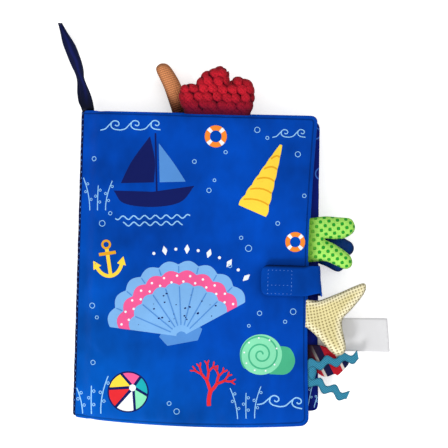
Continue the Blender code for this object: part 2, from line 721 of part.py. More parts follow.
def strip_along(name, path, outline, thickness, key, book, parent):
    """A band bent along a path in XZ: outline points are (distance along the path, y)."""
    path = np.asarray(path, float)
    lengths = np.linalg.norm(np.diff(path, axis=0), axis=1)
    along = np.concatenate([[0], np.cumsum(lengths)])
    low, high = outline[:, 0].min(), outline[:, 0].max()
    inner = along[(along > low + thickness) & (along < high - thickness)]
    rows = np.array([-0.25, 0.25]) * STRAP_WIDTH - STRAP_DROP
    extra = np.array([(s, y) for s in inner for y in rows]) if len(inner) else np.empty((0, 2))
    edge = [np.array([(s, y) for s in inner]) for y in (outline[:, 1].min(), outline[:, 1].max()) if len(inner)]
    outline = turning_left(with_points(outline, edge))
    flat, faces = filled(outline, [extra])
    x = np.interp(flat[:, 0], along, path[:, 0])
    z = np.interp(flat[:, 0], along, path[:, 1])
    band = surface(name, flat, faces, np.column_stack([x, flat[:, 1], z]))
    return book.add(thicken(band, thickness, 0.0), key, parent)


def with_points(outline, groups):
    """The outline with extra points put in where they fall on its straight edges."""
    points = list(map(tuple, outline))
    for group in groups:
        for extra in group:
            for i, a in enumerate(points):
                b = points[(i + 1) % len(points)]
                level = abs(a[1] - extra[1]) < 1e-7 and abs(b[1] - extra[1]) < 1e-7
                low, high = min(a[0], b[0]), max(a[0], b[0])
                if level and low + 1e-6 < extra[0] < high - 1e-6:
                    points.insert(i + 1, tuple(extra))
                    break
    return np.array(points)


def make_strap(book, front, riser_pivot, tongue_pivot, numbers):
    """Anchor, riser and tongue of the closing strap, with the hook patch and the loop patch under it."""
    riser_x, tongue_z, anchor_z, fold_z = numbers
    half = STRAP_WIDTH / 2
    low, high = -STRAP_DROP - half, -STRAP_DROP + half
    start = float(fore_edge(BACK, -STRAP_DROP)) + ROOT_GAP
    bend_x = riser_x - STRAP_FOLD
    lower_bend = arc((bend_x, anchor_z + STRAP_FOLD), STRAP_FOLD, 3, 4, 6)
    out = np.vstack([[(start, anchor_z)], lower_bend])
    bend_z = anchor_z + STRAP_FOLD
    up = np.array([(riser_x, bend_z + FIT_GAP), (riser_x, fold_z - FIT_GAP / 2)])
    for name, path, pivot in (("strap_anchor", out, None), ("strap_riser", up, riser_pivot)):
        length = np.linalg.norm(np.diff(path, axis=0), axis=1).sum()
        box = np.array([(0.0, low), (length, low), (length, high), (0.0, high)])
        strip_along(name, path, box, STRAP_THICKNESS, "strap", book, pivot)
    upper_bend = arc((bend_x, tongue_z - STRAP_FOLD), STRAP_FOLD, 0, 1, 7)
    left = FORE_X - STRAP_LAP
    over = np.vstack([[(riser_x, fold_z + FIT_GAP / 2)], upper_bend, [(left, tongue_z)]])
    length = np.linalg.norm(np.diff(over, axis=0), axis=1).sum()
    free = rounded_box((0.0, low), (length, high), STRAP_CORNER, 5)
    square = np.array([(0.0, high), (0.0, low)])
    free = np.vstack([free[:10], square])
    strip_along("strap_tongue", over, free, STRAP_THICKNESS, "strap", book, tongue_pivot)
    patch_low = (left + PATCH_SETBACK, -STRAP_DROP - PATCH_WIDTH / 2)
    patch_high = (patch_low[0] + PATCH_LENGTH, -STRAP_DROP + PATCH_WIDTH / 2)
    patch = rounded_box(patch_low, patch_high, PATCH_CORNER)
    loop_z = BLOCK_HEIGHT + FIT_GAP + PATCH_THICKNESS / 2
    hook_z = loop_z + PATCH_THICKNESS + FIT_GAP
    book.add(flat_curve("loop_patch", patch, PATCH_THICKNESS, loop_z), "hook", front)
    book.add(flat_curve("hook_patch", patch, PATCH_THICKNESS, hook_z), "hook", tongue_pivot)


def make_loop(book, pivot, root_y):
    """The carrying loop: one ribbon folded double, whose two ends lie in the spine seam."""
    turn = np.linspace(0.0, 1.0, LOOP_POINTS)
    out = np.sin(math.pi * turn) ** 0.8
    spread = (LOOP_CLOTH + PLY_GAP) / 2 + LOOP_RISE * np.sin(2 * math.pi * turn) * np.sin(math.pi * turn) ** 0.5
    side = np.where(turn < 0.5, 1.0, -1.0)
    offset = np.where(turn < 0.5, np.maximum(spread, (LOOP_CLOTH + PLY_GAP) / 2),
                      np.minimum(spread - (LOOP_CLOTH + PLY_GAP), -(LOOP_CLOTH + PLY_GAP) / 2))
    tip = np.abs(turn - 0.5) < 0.5 / (LOOP_POINTS - 1) + 1e-9
    offset = np.where(tip, offset * 0.7, offset)
    y = root_y + LOOP_LENGTH * out
    splay = np.where(side < 0, LOOP_SPLAY * smooth(out / 0.12) * (1 - smooth((out - 0.2) / 0.3)), 0.0)
    centre_x = SEAM_X + LOOP_INSET - LOOP_LEAN * out**1.35 - splay
    z = SEAM_Z - LOOP_SAG * out + offset
    pinch = 1 - 0.42 * np.exp(-((out - 0.36) / 0.14) ** 2) - 0.55 * smooth((out - 0.72) / 0.28)
    half = LOOP_BAND / 2 * pinch
    cant = LOOP_RISE * 0.22 * np.sin(math.pi * out) * side
    rows = []
    for k in (-1.0, 0.0, 1.0):
        rows.append(np.column_stack([centre_x + k * half, y, z + k * cant]))
    places = np.stack(rows, axis=1).reshape(-1, 3)
    faces = []
    for i in range(LOOP_POINTS - 1):
        for j in range(2):
            a = i * 3 + j
            faces.append((a, a + 1, a + 4, a + 3))
    band = surface("carrying_loop", None, faces, places)
    book.add(thicken(band, LOOP_CLOTH, 0.0), "satin", pivot)


def build():
    """Make every piece of the book."""
    clear_scene()
    book = Book()
    seam = (SEAM_X, 0.0, SEAM_Z)
    front = book.pivot("front_cover_pivot", seam)
    one = book.pivot("leaf_one_pivot", seam)
    two = book.pivot("leaf_two_pivot", seam)
    make_leaf(book, BACK, "back_cover", None, "page", "cover")
    make_leaf(book, LEAF_TWO, "leaf_two", two, "page", "page")
    make_leaf(book, LEAF_ONE, "leaf_one", one, "page", "page")
    make_leaf(book, FRONT, "front_cover", front, "cover", "page")
    make_piping(book)

    strap_foot = -STRAP_DROP - STRAP_WIDTH / 2
    riser_x = float(fore_edge(LEAF_ONE, strap_foot)) + STRAP_CLEARANCE + STRAP_THICKNESS / 2
    anchor_z = level_z(BACK)
    tongue_z = BLOCK_HEIGHT + 2 * PATCH_THICKNESS + 3 * FIT_GAP + STRAP_THICKNESS / 2
    fold_z = tongue_z - STRAP_FOLD
    outer_side = riser_x + STRAP_THICKNESS / 2 + HINGE_MARGIN
    bend_z = anchor_z + STRAP_FOLD + FIT_GAP / 2
    riser = book.pivot("strap_riser_pivot", (outer_side, -STRAP_DROP, bend_z))
    tongue = book.pivot("strap_tongue_pivot", (outer_side, -STRAP_DROP, fold_z), riser)
    make_strap(book, front, riser, tongue, (riser_x, tongue_z, anchor_z, fold_z))

    root_y = HEAD_Y + LOOP_ROOT_GAP
    loop_x = SEAM_X + LOOP_INSET
    loop = book.pivot("carrying_loop_pivot", (loop_x, root_y + LOOP_AXIS_SETBACK, SEAM_Z))
    make_loop(book, loop, root_y)

    # Tails of the front cover fold up, so their axes lie on top of their roots.
    top_z = level_z(FRONT) + TAIL_CLOTH + PLY_GAP / 2 + HINGE_MARGIN
    seam_y = HEAD_Y + ROOT_GAP / 2
    red = book.pivot("red_tail_pivot", (RED_PLACE, seam_y, top_z), front)
    tail = Tail("head", HEAD_Y + ROOT_GAP, RED_PLACE, level_z(FRONT), RED_LENGTH, RED_SINK)
    make_stuffed(book, "red_tail", tail, RED_SHARES, RED_ROOT, RED_CROWN, SWELL_RADIUS, "red", red, bobbles=True)

    cover_x = float(fore_edge(FRONT, GREEN_PLACE + GREEN_ROOT))
    green = book.pivot("green_fluke_pivot", (cover_x + ROOT_GAP / 2, GREEN_PLACE, top_z), front)
    tail = Tail("right", cover_x + ROOT_GAP, GREEN_PLACE, level_z(FRONT), GREEN_LENGTH, GREEN_SINK)
    make_stuffed(book, "green_fluke", tail, GREEN_SHARES, GREEN_ROOT, GREEN_CROWN, SWELL_RADIUS, "green", green,
                 ramp=OVERHANG_RAMP)

    # The cream fluke, the ric-rac and the striped ribbon lie in one seam, each at its own place along it,
    # and fan about one line.
    ricrac_foot = RICRAC_ROOT_PLACE - RICRAC_LEG_ROOT - RICRAC_BAND / 2
    fan_x = float(fore_edge(FRONT, ricrac_foot)) + ROOT_GAP
    cream_x = float(fore_edge(FRONT, CREAM_PLACE - CREAM_ROOT)) + ROOT_GAP
    striped_x = float(fore_edge(FRONT, STRIPED_PLACE - STRIPED_ROOT)) + ROOT_GAP
    cream_z = level_z(FRONT) + CREAM_LIFT
    fan_z = cream_z + CREAM_CLOTH + PLY_GAP / 2 + CREAM_CROWN + HINGE_MARGIN
    fan = (fan_x - ROOT_GAP / 2, CREAM_PLACE, fan_z)
    cream = book.pivot("cream_fluke_pivot", fan, front)
    tail = Tail("right", cream_x, CREAM_PLACE, cream_z, CREAM_LENGTH, CREAM_SINK)
    make_stuffed(book, "cream_fluke", tail, CREAM_SHARES, CREAM_ROOT, CREAM_CROWN, FLAT_SWELL_RADIUS, "cream",
                 cream, cloth=CREAM_CLOTH, stuffed=False)
    under = cream_z - CREAM_CLOTH - PLY_GAP / 2 - CREAM_CROWN
    ricrac_z = under - RIBBON_GAP - RICRAC_THICKNESS / 2
    ricrac = book.pivot("ricrac_pivot", fan, front)
    tail = Tail("right", fan_x, RICRAC_ROOT_PLACE, ricrac_z, RICRAC_REACH, RICRAC_SINK)
    make_ribbon(book, "ricrac_braid", tail, ricrac_outline(), RICRAC_THICKNESS, "teal", ricrac)
    striped_z = ricrac_z - RICRAC_THICKNESS / 2 - RIBBON_GAP - STRIPED_THICKNESS / 2
    striped = book.pivot("striped_ribbon_pivot", fan, front)
    tail = Tail("right", striped_x, STRIPED_PLACE, striped_z, STRIPED_LENGTH, STRIPED_SINK)
    outline = resampled(spline([(u * STRIPED_LENGTH, v * STRIPED_ROOT) for u, v in STRIPED_SHARES], 4),
                        STRIP_STEP / 2.5)
    make_ribbon(book, "striped_ribbon", tail, outline, STRIPED_THICKNESS, "striped", striped)

    # Pieces of the inner leaves fold down, so their axes lie under their roots.
    label_x = float(fore_edge(LEAF_ONE, LABEL_PLACE - LABEL_ROOT)) + ROOT_GAP
    label_z = level_z(LEAF_ONE)
    label = book.pivot("label_pivot", (label_x - ROOT_GAP / 2, LABEL_PLACE, label_z - LABEL_THICKNESS), one)
    tail = Tail("right", label_x, LABEL_PLACE, label_z, LABEL_LENGTH, LABEL_SINK)
    corners = np.array([(u * LABEL_LENGTH, v * LABEL_ROOT) for u, v in LABEL_SHARES])
    outline = resampled(np.vstack([corners, corners[:1]]), STRIP_STEP)[:-1]
    make_ribbon(book, "satin_label", tail, outline, LABEL_THICKNESS, "label", label)

    low_z = level_z(LEAF_TWO) - TAIL_CLOTH - PLY_GAP / 2 - HINGE_MARGIN
    navy_x = float(fore_edge(LEAF_TWO, NAVY_PLACE - NAVY_ROOT)) + ROOT_GAP
    navy = book.pivot("navy_fluke_pivot", (navy_x - ROOT_GAP / 2, NAVY_PLACE, low_z), two)
    tail = Tail("right", navy_x, NAVY_PLACE, level_z(LEAF_TWO), NAVY_LENGTH, NAVY_SINK)
    make_stuffed(book, "navy_fluke", tail, NAVY_SHARES, NAVY_ROOT, NAVY_CROWN, SWELL_RADIUS, "satin", navy)
    leaf_head = leaf_ends(LEAF_TWO)[0]
    orange = book.pivot("orange_tail_pivot", (ORANGE_PLACE, leaf_head + ROOT_GAP / 2, low_z), two)
    tail = Tail("head", leaf_head + ROOT_GAP, ORANGE_PLACE, level_z(LEAF_TWO), ORANGE_LENGTH, ORANGE_SINK)
    make_stuffed(book, "orange_tail", tail, ORANGE_SHARES, ORANGE_ROOT, ORANGE_CROWN, ROUND_SWELL_RADIUS,
                 "orange", orange, neck=ORANGE_NECK)
    bpy.context.view_layer.update()


build()
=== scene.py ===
"""Looks of the crinkle cloth book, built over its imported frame.

Lengths are in metres, in the frame's own axes: +Z up, +Y to the head of the book, the spine at -X.
"""
import logging
import math
from dataclasses import dataclass, field
from enum import Enum
from typing import Sequence

import bmesh
import bpy
import numpy as np
from mathutils import Euler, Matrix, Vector
from mathutils.bvhtree import BVHTree
from mathutils.geometry import delaunay_2d_cdt


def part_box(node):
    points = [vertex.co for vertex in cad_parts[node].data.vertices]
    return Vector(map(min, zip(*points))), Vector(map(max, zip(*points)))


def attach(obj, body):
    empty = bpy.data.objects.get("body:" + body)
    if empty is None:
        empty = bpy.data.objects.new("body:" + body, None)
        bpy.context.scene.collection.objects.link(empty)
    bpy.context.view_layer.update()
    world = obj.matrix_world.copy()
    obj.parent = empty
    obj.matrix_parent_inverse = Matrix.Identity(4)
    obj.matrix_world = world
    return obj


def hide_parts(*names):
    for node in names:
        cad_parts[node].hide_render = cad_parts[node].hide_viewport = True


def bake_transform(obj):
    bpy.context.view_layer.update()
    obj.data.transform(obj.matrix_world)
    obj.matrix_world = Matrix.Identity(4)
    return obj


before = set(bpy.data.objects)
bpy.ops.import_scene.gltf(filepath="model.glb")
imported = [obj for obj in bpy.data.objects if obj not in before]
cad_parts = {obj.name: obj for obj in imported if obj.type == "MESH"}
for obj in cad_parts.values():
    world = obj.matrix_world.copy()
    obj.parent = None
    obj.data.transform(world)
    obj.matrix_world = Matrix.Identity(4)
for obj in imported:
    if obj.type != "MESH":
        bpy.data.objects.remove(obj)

log = logging.getLogger("cloth_book")
Rgb = tuple[float, float, float]
Array = np.ndarray
Piece = bpy.types.Object
Socket = bpy.types.NodeSocket
Colour = Rgb | Socket
MILLIMETRE = 0.001


def rgb(red: int, green: int, blue: int) -> Rgb:
    """A display colour of 0 to 255 as the linear colour that a shader takes."""
    def channel(value: int) -> float:
        """One channel, made linear."""
        v = value / 255
        return v / 12.92 if v <= 0.04045 else ((v + 0.055) / 1.055) ** 2.4
    return channel(red), channel(green), channel(blue)


class Ink(Enum):
    """The colours printed on the cloth."""

    NAVY = rgb(16, 26, 92)
    SKY = rgb(124, 178, 232)
    SKY_DEEP = rgb(84, 142, 212)
    PALE = rgb(150, 205, 246)
    WHITE = rgb(240, 244, 250)
    PINK = rgb(240, 92, 150)
    YELLOW = rgb(252, 214, 66)
    GOLD = rgb(232, 166, 34)
    MINT = rgb(134, 222, 178)
    MINT_DEEP = rgb(72, 178, 134)
    RED = rgb(226, 44, 52)
    ORANGE = rgb(246, 138, 48)
    TEAL = rgb(28, 168, 176)


def smooth(t: Array) -> Array:
    """Smoothstep of t, held between 0 and 1."""
    t = np.clip(t, 0.0, 1.0)
    return t * t * (3 - 2 * t)


def pillow(t: Array) -> Array:
    """Quarter-ellipse rise from 0 at t = 0 to 1 at t = 1 and over."""
    t = np.clip(t, 0.0, 1.0)
    return np.sqrt(1 - (1 - t) ** 2)


def turned(points: Array, degrees: float) -> Array:
    """Flat points turned about the origin."""
    a = math.radians(degrees)
    return points @ np.array([[math.cos(a), math.sin(a)], [-math.sin(a), math.cos(a)]])


def travelled(chain: Array) -> Array:
    """How far along an open chain each of its points lies."""
    return np.concatenate([[0], np.cumsum(np.linalg.norm(np.diff(chain, axis=0), axis=1))])


def closed(outline: Array) -> Array:
    """The outline with its first point again at its end."""
    return np.vstack([outline, outline[:1]])


def polar(radius: Array | float, angle: Array | float) -> Array:
    """Flat points at some radii and angles about the origin."""
    return np.stack([radius * np.cos(angle), radius * np.sin(angle)], axis=-1)


def resampled(points: Array, step: float) -> Array:
    """Points about step apart along an open chain, its ends kept."""
    points = np.asarray(points, float)
    along = travelled(points)
    at = np.linspace(0, along[-1], max(2, int(round(along[-1] / step)) + 1))
    return np.stack([np.interp(at, along, points[:, k]) for k in range(points.shape[1])], axis=1)


def spline(points: Sequence, steps: int = 8) -> Array:
    """A Catmull-Rom curve through an open chain of points."""
    points = [np.asarray(p, float) for p in points]
    ends = [2 * points[0] - points[1]] + points + [2 * points[-1] - points[-2]]
    made = []
    for a, b, c, d in zip(ends, ends[1:], ends[2:], ends[3:]):
        for k in range(steps):
            t = k / steps
            made.append(0.5 * (2 * b + (c - a) * t + (2 * a - 5 * b + 4 * c - d) * t**2
                               + (3 * b - a - 3 * c + d) * t**3))
    return np.array(made + [points[-1]])


def nearest_on_chain(points: Array, chain: Array) -> tuple[Array, Array]:
    """Where each point is against an open chain.

    Args:
        points: flat points.
        chain: the chain's corners.

    Returns:
        Each point's distance from the chain, and how far along the chain its nearest place lies.
    """
    best, place, travelled = np.full(len(points), np.inf), np.zeros(len(points)), 0.0
    for a, b in zip(chain[:-1], chain[1:]):
        along = b - a
        length = np.linalg.norm(along)
        share = np.clip(((points - a) @ along) / max(length**2, 1e-18), 0, 1)
        away = np.linalg.norm(points - a - share[:, None] * along, axis=1)
        nearer = away < best
        best, place = np.where(nearer, away, best), np.where(nearer, travelled + share * length, place)
        travelled += length
    return best, place


def inside(points: Array, outline: Array) -> Array:
    """Which points lie in a closed outline."""
    hit = np.zeros(len(points), bool)
    x, y = points[:, 0], points[:, 1]
    for (ax, ay), (bx, by) in zip(outline, np.roll(outline, -1, axis=0)):
        if ay != by:
            hit ^= ((ay > y) != (by > y)) & (x < (bx - ax) * (y - ay) / (by - ay) + ax)
    return hit


def turning_left(outline: Array) -> Array:
    """The outline, counter-clockwise."""
    x, y = outline[:, 0], outline[:, 1]
    return outline if (x * np.roll(y, -1) - np.roll(x, -1) * y).sum() > 0 else outline[::-1]


def inset_ring(outline: Array, distance: float) -> Array:
    """Points that lie inside a closed outline, at one distance from it."""
    along = np.roll(outline, -1, axis=0) - np.roll(outline, 1, axis=0)
    along /= np.maximum(np.linalg.norm(along, axis=1), 1e-12)[:, None]
    ring = outline + distance * np.stack([-along[:, 1], along[:, 0]], axis=1)
    away, _ = nearest_on_chain(ring, closed(outline))
    return ring[inside(ring, outline) & (away > 0.93 * distance)]


def lattice(outline: Array, step: float, margin: float) -> Array:
    """Triangular lattice points inside an outline that keep a margin to it."""
    low, high = outline.min(axis=0), outline.max(axis=0)
    rows = int((high[1] - low[1]) / (step * math.sqrt(0.75))) + 2
    columns = int((high[0] - low[0]) / step) + 2
    i, j = np.meshgrid(np.arange(columns), np.arange(rows))
    points = np.stack([low[0] + (i + 0.5 * (j % 2)) * step, low[1] + j * step * math.sqrt(0.75)], axis=-1)
    points = points.reshape(-1, 2)
    points = points[inside(points, outline)]
    away, _ = nearest_on_chain(points, closed(outline))
    return points[away > margin]


def filled(outline: Array, extra: Sequence[Array]) -> tuple[Array, list[tuple[int, ...]]]:
    """Triangles over a closed outline.

    Args:
        outline: the outline's corners, counter-clockwise.
        extra: groups of points inside it that the triangles use.

    Returns:
        The flat points and the faces, which turn counter-clockwise.
    """
    count = len(outline)
    edges = [(i, (i + 1) % count) for i in range(count)]
    points = np.vstack([outline] + [e for e in extra if len(e)])
    verts, _, faces, *_ = delaunay_2d_cdt([Vector(p) for p in points], edges, [], 1, 1e-7)
    flat = np.array([tuple(v) for v in verts])
    made = []
    for face in faces:
        a, b, c = (flat[i] for i in face)
        across = (b[0] - a[0]) * (c[1] - a[1]) - (b[1] - a[1]) * (c[0] - a[0])
        made.append(tuple(face) if across > 0 else tuple(reversed(face)))
    return flat, made


def walled(faces: Sequence, count: int, rim: int) -> list[tuple[int, ...]]:
    """Faces of a closed shell.

    Args:
        faces: the upper layer's faces.
        count: how many points a layer has. The lower layer's come after the upper one's.
        rim: how many of a layer's first points are its outline.

    Returns:
        The upper faces, the lower ones turned over, and the wall between the two outlines.
    """
    lower = [tuple(count + i for i in reversed(face)) for face in faces]
    return list(faces) + lower + [(i, count + i, count + (i + 1) % rim, (i + 1) % rim) for i in range(rim)]


def add_object(name: str, data: bpy.types.ID) -> Piece:
    """A new object at the origin, linked to the scene."""
    made = bpy.data.objects.new(name, data)
    bpy.context.scene.collection.objects.link(made)
    return made


def make_object(name: str, points: Array, faces: Sequence, *finishes: "Finish") -> Piece:
    """A smooth-shaded mesh object at the origin, with its finishes as material slots."""
    mesh = bpy.data.meshes.new(name)
    mesh.from_pydata([tuple(map(float, p)) for p in points], [], [tuple(map(int, f)) for f in faces])
    mesh.update()
    mesh.shade_smooth()
    for finish in finishes:
        mesh.materials.append(finish.material())
    return add_object(name, mesh)


def settled(obj: Piece) -> Piece:
    """The object with its modifiers turned into plain mesh."""
    graph = bpy.context.evaluated_depsgraph_get()
    mesh = bpy.data.meshes.new_from_object(obj.evaluated_get(graph))
    obj.modifiers.clear()
    obj.data = mesh
    return obj


def subdivided(obj: Piece, levels: int = 1) -> Piece:
    """The object, subdivided and settled."""
    rounding = obj.modifiers.new("rounding", "SUBSURF")
    rounding.levels = rounding.render_levels = levels
    return settled(obj)


def places_of(obj: Piece) -> Array:
    """The mesh's points as an array."""
    co = np.empty(len(obj.data.vertices) * 3, np.float32)
    obj.data.vertices.foreach_get("co", co)
    return co.reshape(-1, 3).astype(float)


def put_places(obj: Piece, points: Array) -> None:
    """Write the mesh's points back."""
    obj.data.vertices.foreach_set("co", np.asarray(points, np.float32).ravel())
    obj.data.update()


def keep_on(obj: Piece, name: str, values: Array, kind: str = "FLOAT", key: str = "value") -> None:
    """Store values at the mesh's points, for its finish to read."""
    kept = obj.data.attributes.new(name, kind, "POINT")
    kept.data.foreach_set(key, values.astype(np.float32).ravel())


def tell(obj: Piece) -> None:
    """Log how many faces a piece has."""
    log.info("%s: %d faces", obj.name, len(obj.data.polygons))


def fold_waves(along: Array, pitch: float, seed: int) -> Array:
    """Uneven folds along a seam, from 0 on a ridge to 1 in a valley."""
    rng = np.random.default_rng(seed)
    total = np.zeros_like(along)
    for share, weight in ((1.0, 1.0), (1.73, 0.6), (0.41, 0.8)):
        total += weight * np.sin(2 * math.pi * along * share / pitch + rng.uniform(0, 2 * math.pi))
    return smooth(0.5 + total / 3.2)


class Nodes:
    """Short forms for building a node tree."""

    def __init__(self, tree: bpy.types.NodeTree) -> None:
        """Keep the tree that the nodes go into."""
        self.tree = tree

    def feed(self, socket: Socket, value) -> None:
        """Link a socket to another, or give it a value."""
        if isinstance(value, Socket):
            self.tree.links.new(value, socket)
        else:
            socket.default_value = value

    def node(self, kind: str, *values, named: dict | None = None, **settings) -> bpy.types.Node:
        """A new node.

        Args:
            kind: its type.
            values: what its first inputs are linked to or set to. None leaves one as it is.
            named: the same for inputs by name.
            settings: its properties.

        Returns:
            The node.
        """
        made = self.tree.nodes.new(kind)
        for key, value in settings.items():
            setattr(made, key, value)
        for socket, value in [*zip(made.inputs, values), *((made.inputs[k], v) for k, v in (named or {}).items())]:
            if value is not None:
                self.feed(socket, value)
        return made

    def math(self, operation: str, *values) -> Socket:
        """The result of a Math node."""
        return self.node("ShaderNodeMath", *values, operation=operation).outputs[0]


class Graph(Nodes):
    """One material's nodes, round its Principled shader."""

    def __init__(self, name: str) -> None:
        """Start the material."""
        self.material = bpy.data.materials.new(name)
        self.material.use_nodes = True
        super().__init__(self.material.node_tree)
        self.shader = self.tree.nodes["Principled BSDF"]
        self.place = self.node("ShaderNodeTexCoord").outputs["Object"]

    def fit(self, value, factor: float, offset) -> Socket:
        """A value times a factor, plus an offset."""
        return self.math("MULTIPLY_ADD", value, factor, offset)

    def times(self, one, two) -> Socket:
        """The product of two values."""
        return self.math("MULTIPLY", one, two)

    def rest(self, value) -> Socket:
        """What a value leaves of 1."""
        return self.math("SUBTRACT", 1.0, value)

    def apart(self, one, two) -> Socket:
        """How far two values are apart."""
        return self.math("ABSOLUTE", self.math("SUBTRACT", one, two))

    def given(self, name: str, kind: str = "Fac") -> Socket:
        """An attribute of the mesh."""
        return self.node("ShaderNodeAttribute", attribute_name=name).outputs[kind]

    def mapped(self, scale: Sequence = (1, 1, 1), turn: float = 0.0, shift: Sequence = (0, 0, 0)) -> Socket:
        """The place, scaled and turned about Z by degrees."""
        return self.node("ShaderNodeMapping", named={
            "Vector": self.place, "Scale": scale, "Rotation": (0, 0, math.radians(turn)), "Location": shift}).outputs[0]

    def noise(self, pitch: float, detail: float = 2.0, vector: Socket | None = None) -> Socket:
        """Noise whose features are about pitch across."""
        return self.node("ShaderNodeTexNoise", named={
            "Vector": vector or self.place, "Scale": 1 / pitch, "Detail": detail}).outputs["Fac"]

    def axis(self, index: int, vector: Socket | None = None) -> Socket:
        """One component of a vector."""
        return self.node("ShaderNodeSeparateXYZ", vector or self.place).outputs[index]

    def along(self, turn: float, index: int = 0) -> Socket:
        """One component of the place, turned about Z by degrees."""
        return self.axis(index, self.mapped(turn=turn))

    def ripple(self, value, pitch: float) -> Socket:
        """A sine of a length, from 0 to 1."""
        return self.fit(self.math("SINE", self.times(value, 2 * math.pi / pitch)), 0.5, 0.5)

    def dots(self, pitch: float, size: float, turn: float, soft: float) -> Socket:
        """A lattice of round dots, 1 inside a dot and 0 outside it."""
        vector = self.mapped(turn=turn)
        k = 2 * math.pi / pitch
        cos = [self.math("COSINE", self.times(self.axis(i, vector), k)) for i in (0, 1)]
        return self.step(self.math("ADD", *cos), 1 + math.cos(math.pi * size / pitch), soft)

    def between(self, value, low: float, high: float) -> Socket:
        """0 at low and 1 at high, with a smooth passage."""
        return self.node("ShaderNodeMapRange", named={"Value": value, "From Min": low, "From Max": high},
                         interpolation_type="SMOOTHSTEP").outputs["Result"]

    def step(self, value, edge: float, soft: float) -> Socket:
        """0 below an edge and 1 over it, with a soft passage."""
        return self.between(value, edge - soft, edge + soft)

    def mix(self, share, first, second, blend: str = "MIX") -> Socket:
        """A mix of two colours."""
        made = self.node("ShaderNodeMix", data_type="RGBA", blend_type=blend)
        self.feed(made.inputs[0], share)
        for socket, value in ((made.inputs[6], first), (made.inputs[7], second)):
            self.feed(socket, (*value, 1.0) if isinstance(value, tuple) else value)
        return made.outputs[2]

    def shade(self, colour, share) -> Socket:
        """A colour multiplied by a grey share."""
        return self.mix(1.0, colour, share, "MULTIPLY")

    def bump(self, height: Socket, depth: float, normal: Socket | None = None) -> Socket:
        """A bump of a depth in metres over an earlier normal."""
        return self.node("ShaderNodeBump", named={"Distance": depth, "Height": height, "Normal": normal}).outputs[0]


@dataclass(frozen=True)
class Finish:
    """A cloth with a fine weave and slow changes of tone.

    rim_shade paints shade towards its seams over rim_width, a deeper colour is painted as shade towards the first end
    of a span along one turned axis, and follows lets its pattern stay on the cloth as it was before it was blown up.
    """

    name: str
    colour: Rgb
    roughness: float = 0.6
    sheen: float = 0.0
    weave: float = 0.0006
    weave_depth: float = 0.00005
    tone: float = 0.12
    specular: float = 0.1
    rim_shade: float = 0.0
    rim_width: float = 0.003
    painted_shade: Rgb | None = None
    painted_shade_axis: int = 0
    painted_shade_span: tuple[float, float] = (0.0, 1.0)
    painted_shade_turn: float = 0.0
    follows: bool = False

    def paint(self, g: Graph) -> Colour:
        """The cloth's colour before its slow tone."""
        return self.colour

    def tones(self, g: Graph) -> Socket:
        """Slow light and dark places."""
        return g.fit(g.noise(0.022, 3.0), self.tone, 1 - self.tone / 2)

    def with_painted_shade(self, g: Graph, colour: Colour) -> Colour:
        """The colour, with painted shade deepening it towards the first end of its span."""
        if self.painted_shade is None:
            return colour
        share = g.between(g.along(self.painted_shade_turn, self.painted_shade_axis), *self.painted_shade_span)
        return g.mix(share, self.painted_shade, colour)

    def relief(self, g: Graph) -> Socket:
        """The cloth's own bump."""
        return g.bump(self.threads(g), self.weave_depth)

    def threads(self, g: Graph) -> Socket:
        """Crossing threads as a height."""
        return g.times(g.ripple(g.axis(0), self.weave), g.ripple(g.axis(1), self.weave))

    def material(self) -> bpy.types.Material:
        """The finish's material, built once."""
        found = bpy.data.materials.get(self.name)
        if found:
            return found
        g = Graph(self.name)
        if self.follows:
            g.place = g.given("cloth_place", "Vector")
        slow = self.tones(g)
        # Painted shade towards the seams, where the rounded cloth turns away from the light.
        if self.rim_shade:
            inner = g.between(g.given("edge_distance"), 0.0, self.rim_width)
            slow = g.times(slow, g.fit(inner, self.rim_shade, 1 - self.rim_shade))
        g.feed(g.shader.inputs["Base Color"], g.shade(self.with_painted_shade(g, self.paint(g)), slow))
        g.feed(g.shader.inputs["Roughness"], g.fit(g.noise(0.011, 2.0), 0.16, self.roughness - 0.08))
        g.feed(g.shader.inputs["Normal"], self.relief(g))
        g.shader.inputs["Sheen Weight"].default_value = self.sheen
        g.shader.inputs["Sheen Roughness"].default_value = 0.4
        g.shader.inputs["Specular IOR Level"].default_value = self.specular
        return g.material


@dataclass(frozen=True, kw_only=True)
class CrinkleCloth(Finish):
    """Shiny printed polyester that lies over crinkle film. inked takes its colour from the print."""

    crinkle: float = 0.00035
    shading: float = 1.5
    inked: bool = False
    seamed: bool = False

    def paint(self, g: Graph) -> Colour:
        """The dye, or the print's own colour."""
        return g.given("ink", "Color") if self.inked else self.colour

    def tones(self, g: Graph) -> Socket:
        """The slow tone, with painted light and shade over the creases and painted shade along the pressed line."""
        lit = g.fit(self.creases(g), self.shading, 1.0 - self.shading / 2)
        if self.seamed:
            lit = g.times(lit, g.fit(self.seam_line(g), -0.42, 1.0))
        return g.times(super().tones(g), lit)

    def seam_line(self, g: Graph) -> Socket:
        """1 on the line where the cloth is pressed flat beside its edge, and 0 away from it."""
        return g.rest(g.step(g.apart(g.given("edge_distance"), 0.0021), 0.00045, 0.00035))

    def creases(self, g: Graph) -> Socket:
        """Height of the soft creases that the film under the cloth makes."""
        long = g.noise(0.034, 1.5, g.mapped((0.55, 1.0, 1.0), 28.0))
        short = g.noise(0.013, 2.0, g.mapped((1.0, 0.6, 1.0), -34.0, (0.31, 0.12, 0.0)))
        return g.fit(short, 0.35, g.times(long, 0.65))

    def relief(self, g: Graph) -> Socket:
        """Soft crinkles with a fine weave over them."""
        folds = g.bump(self.creases(g), self.crinkle * 3.0)
        if self.seamed:
            folds = g.bump(g.rest(self.seam_line(g)), 0.0004, folds)
        return g.bump(self.threads(g), self.weave_depth, folds)


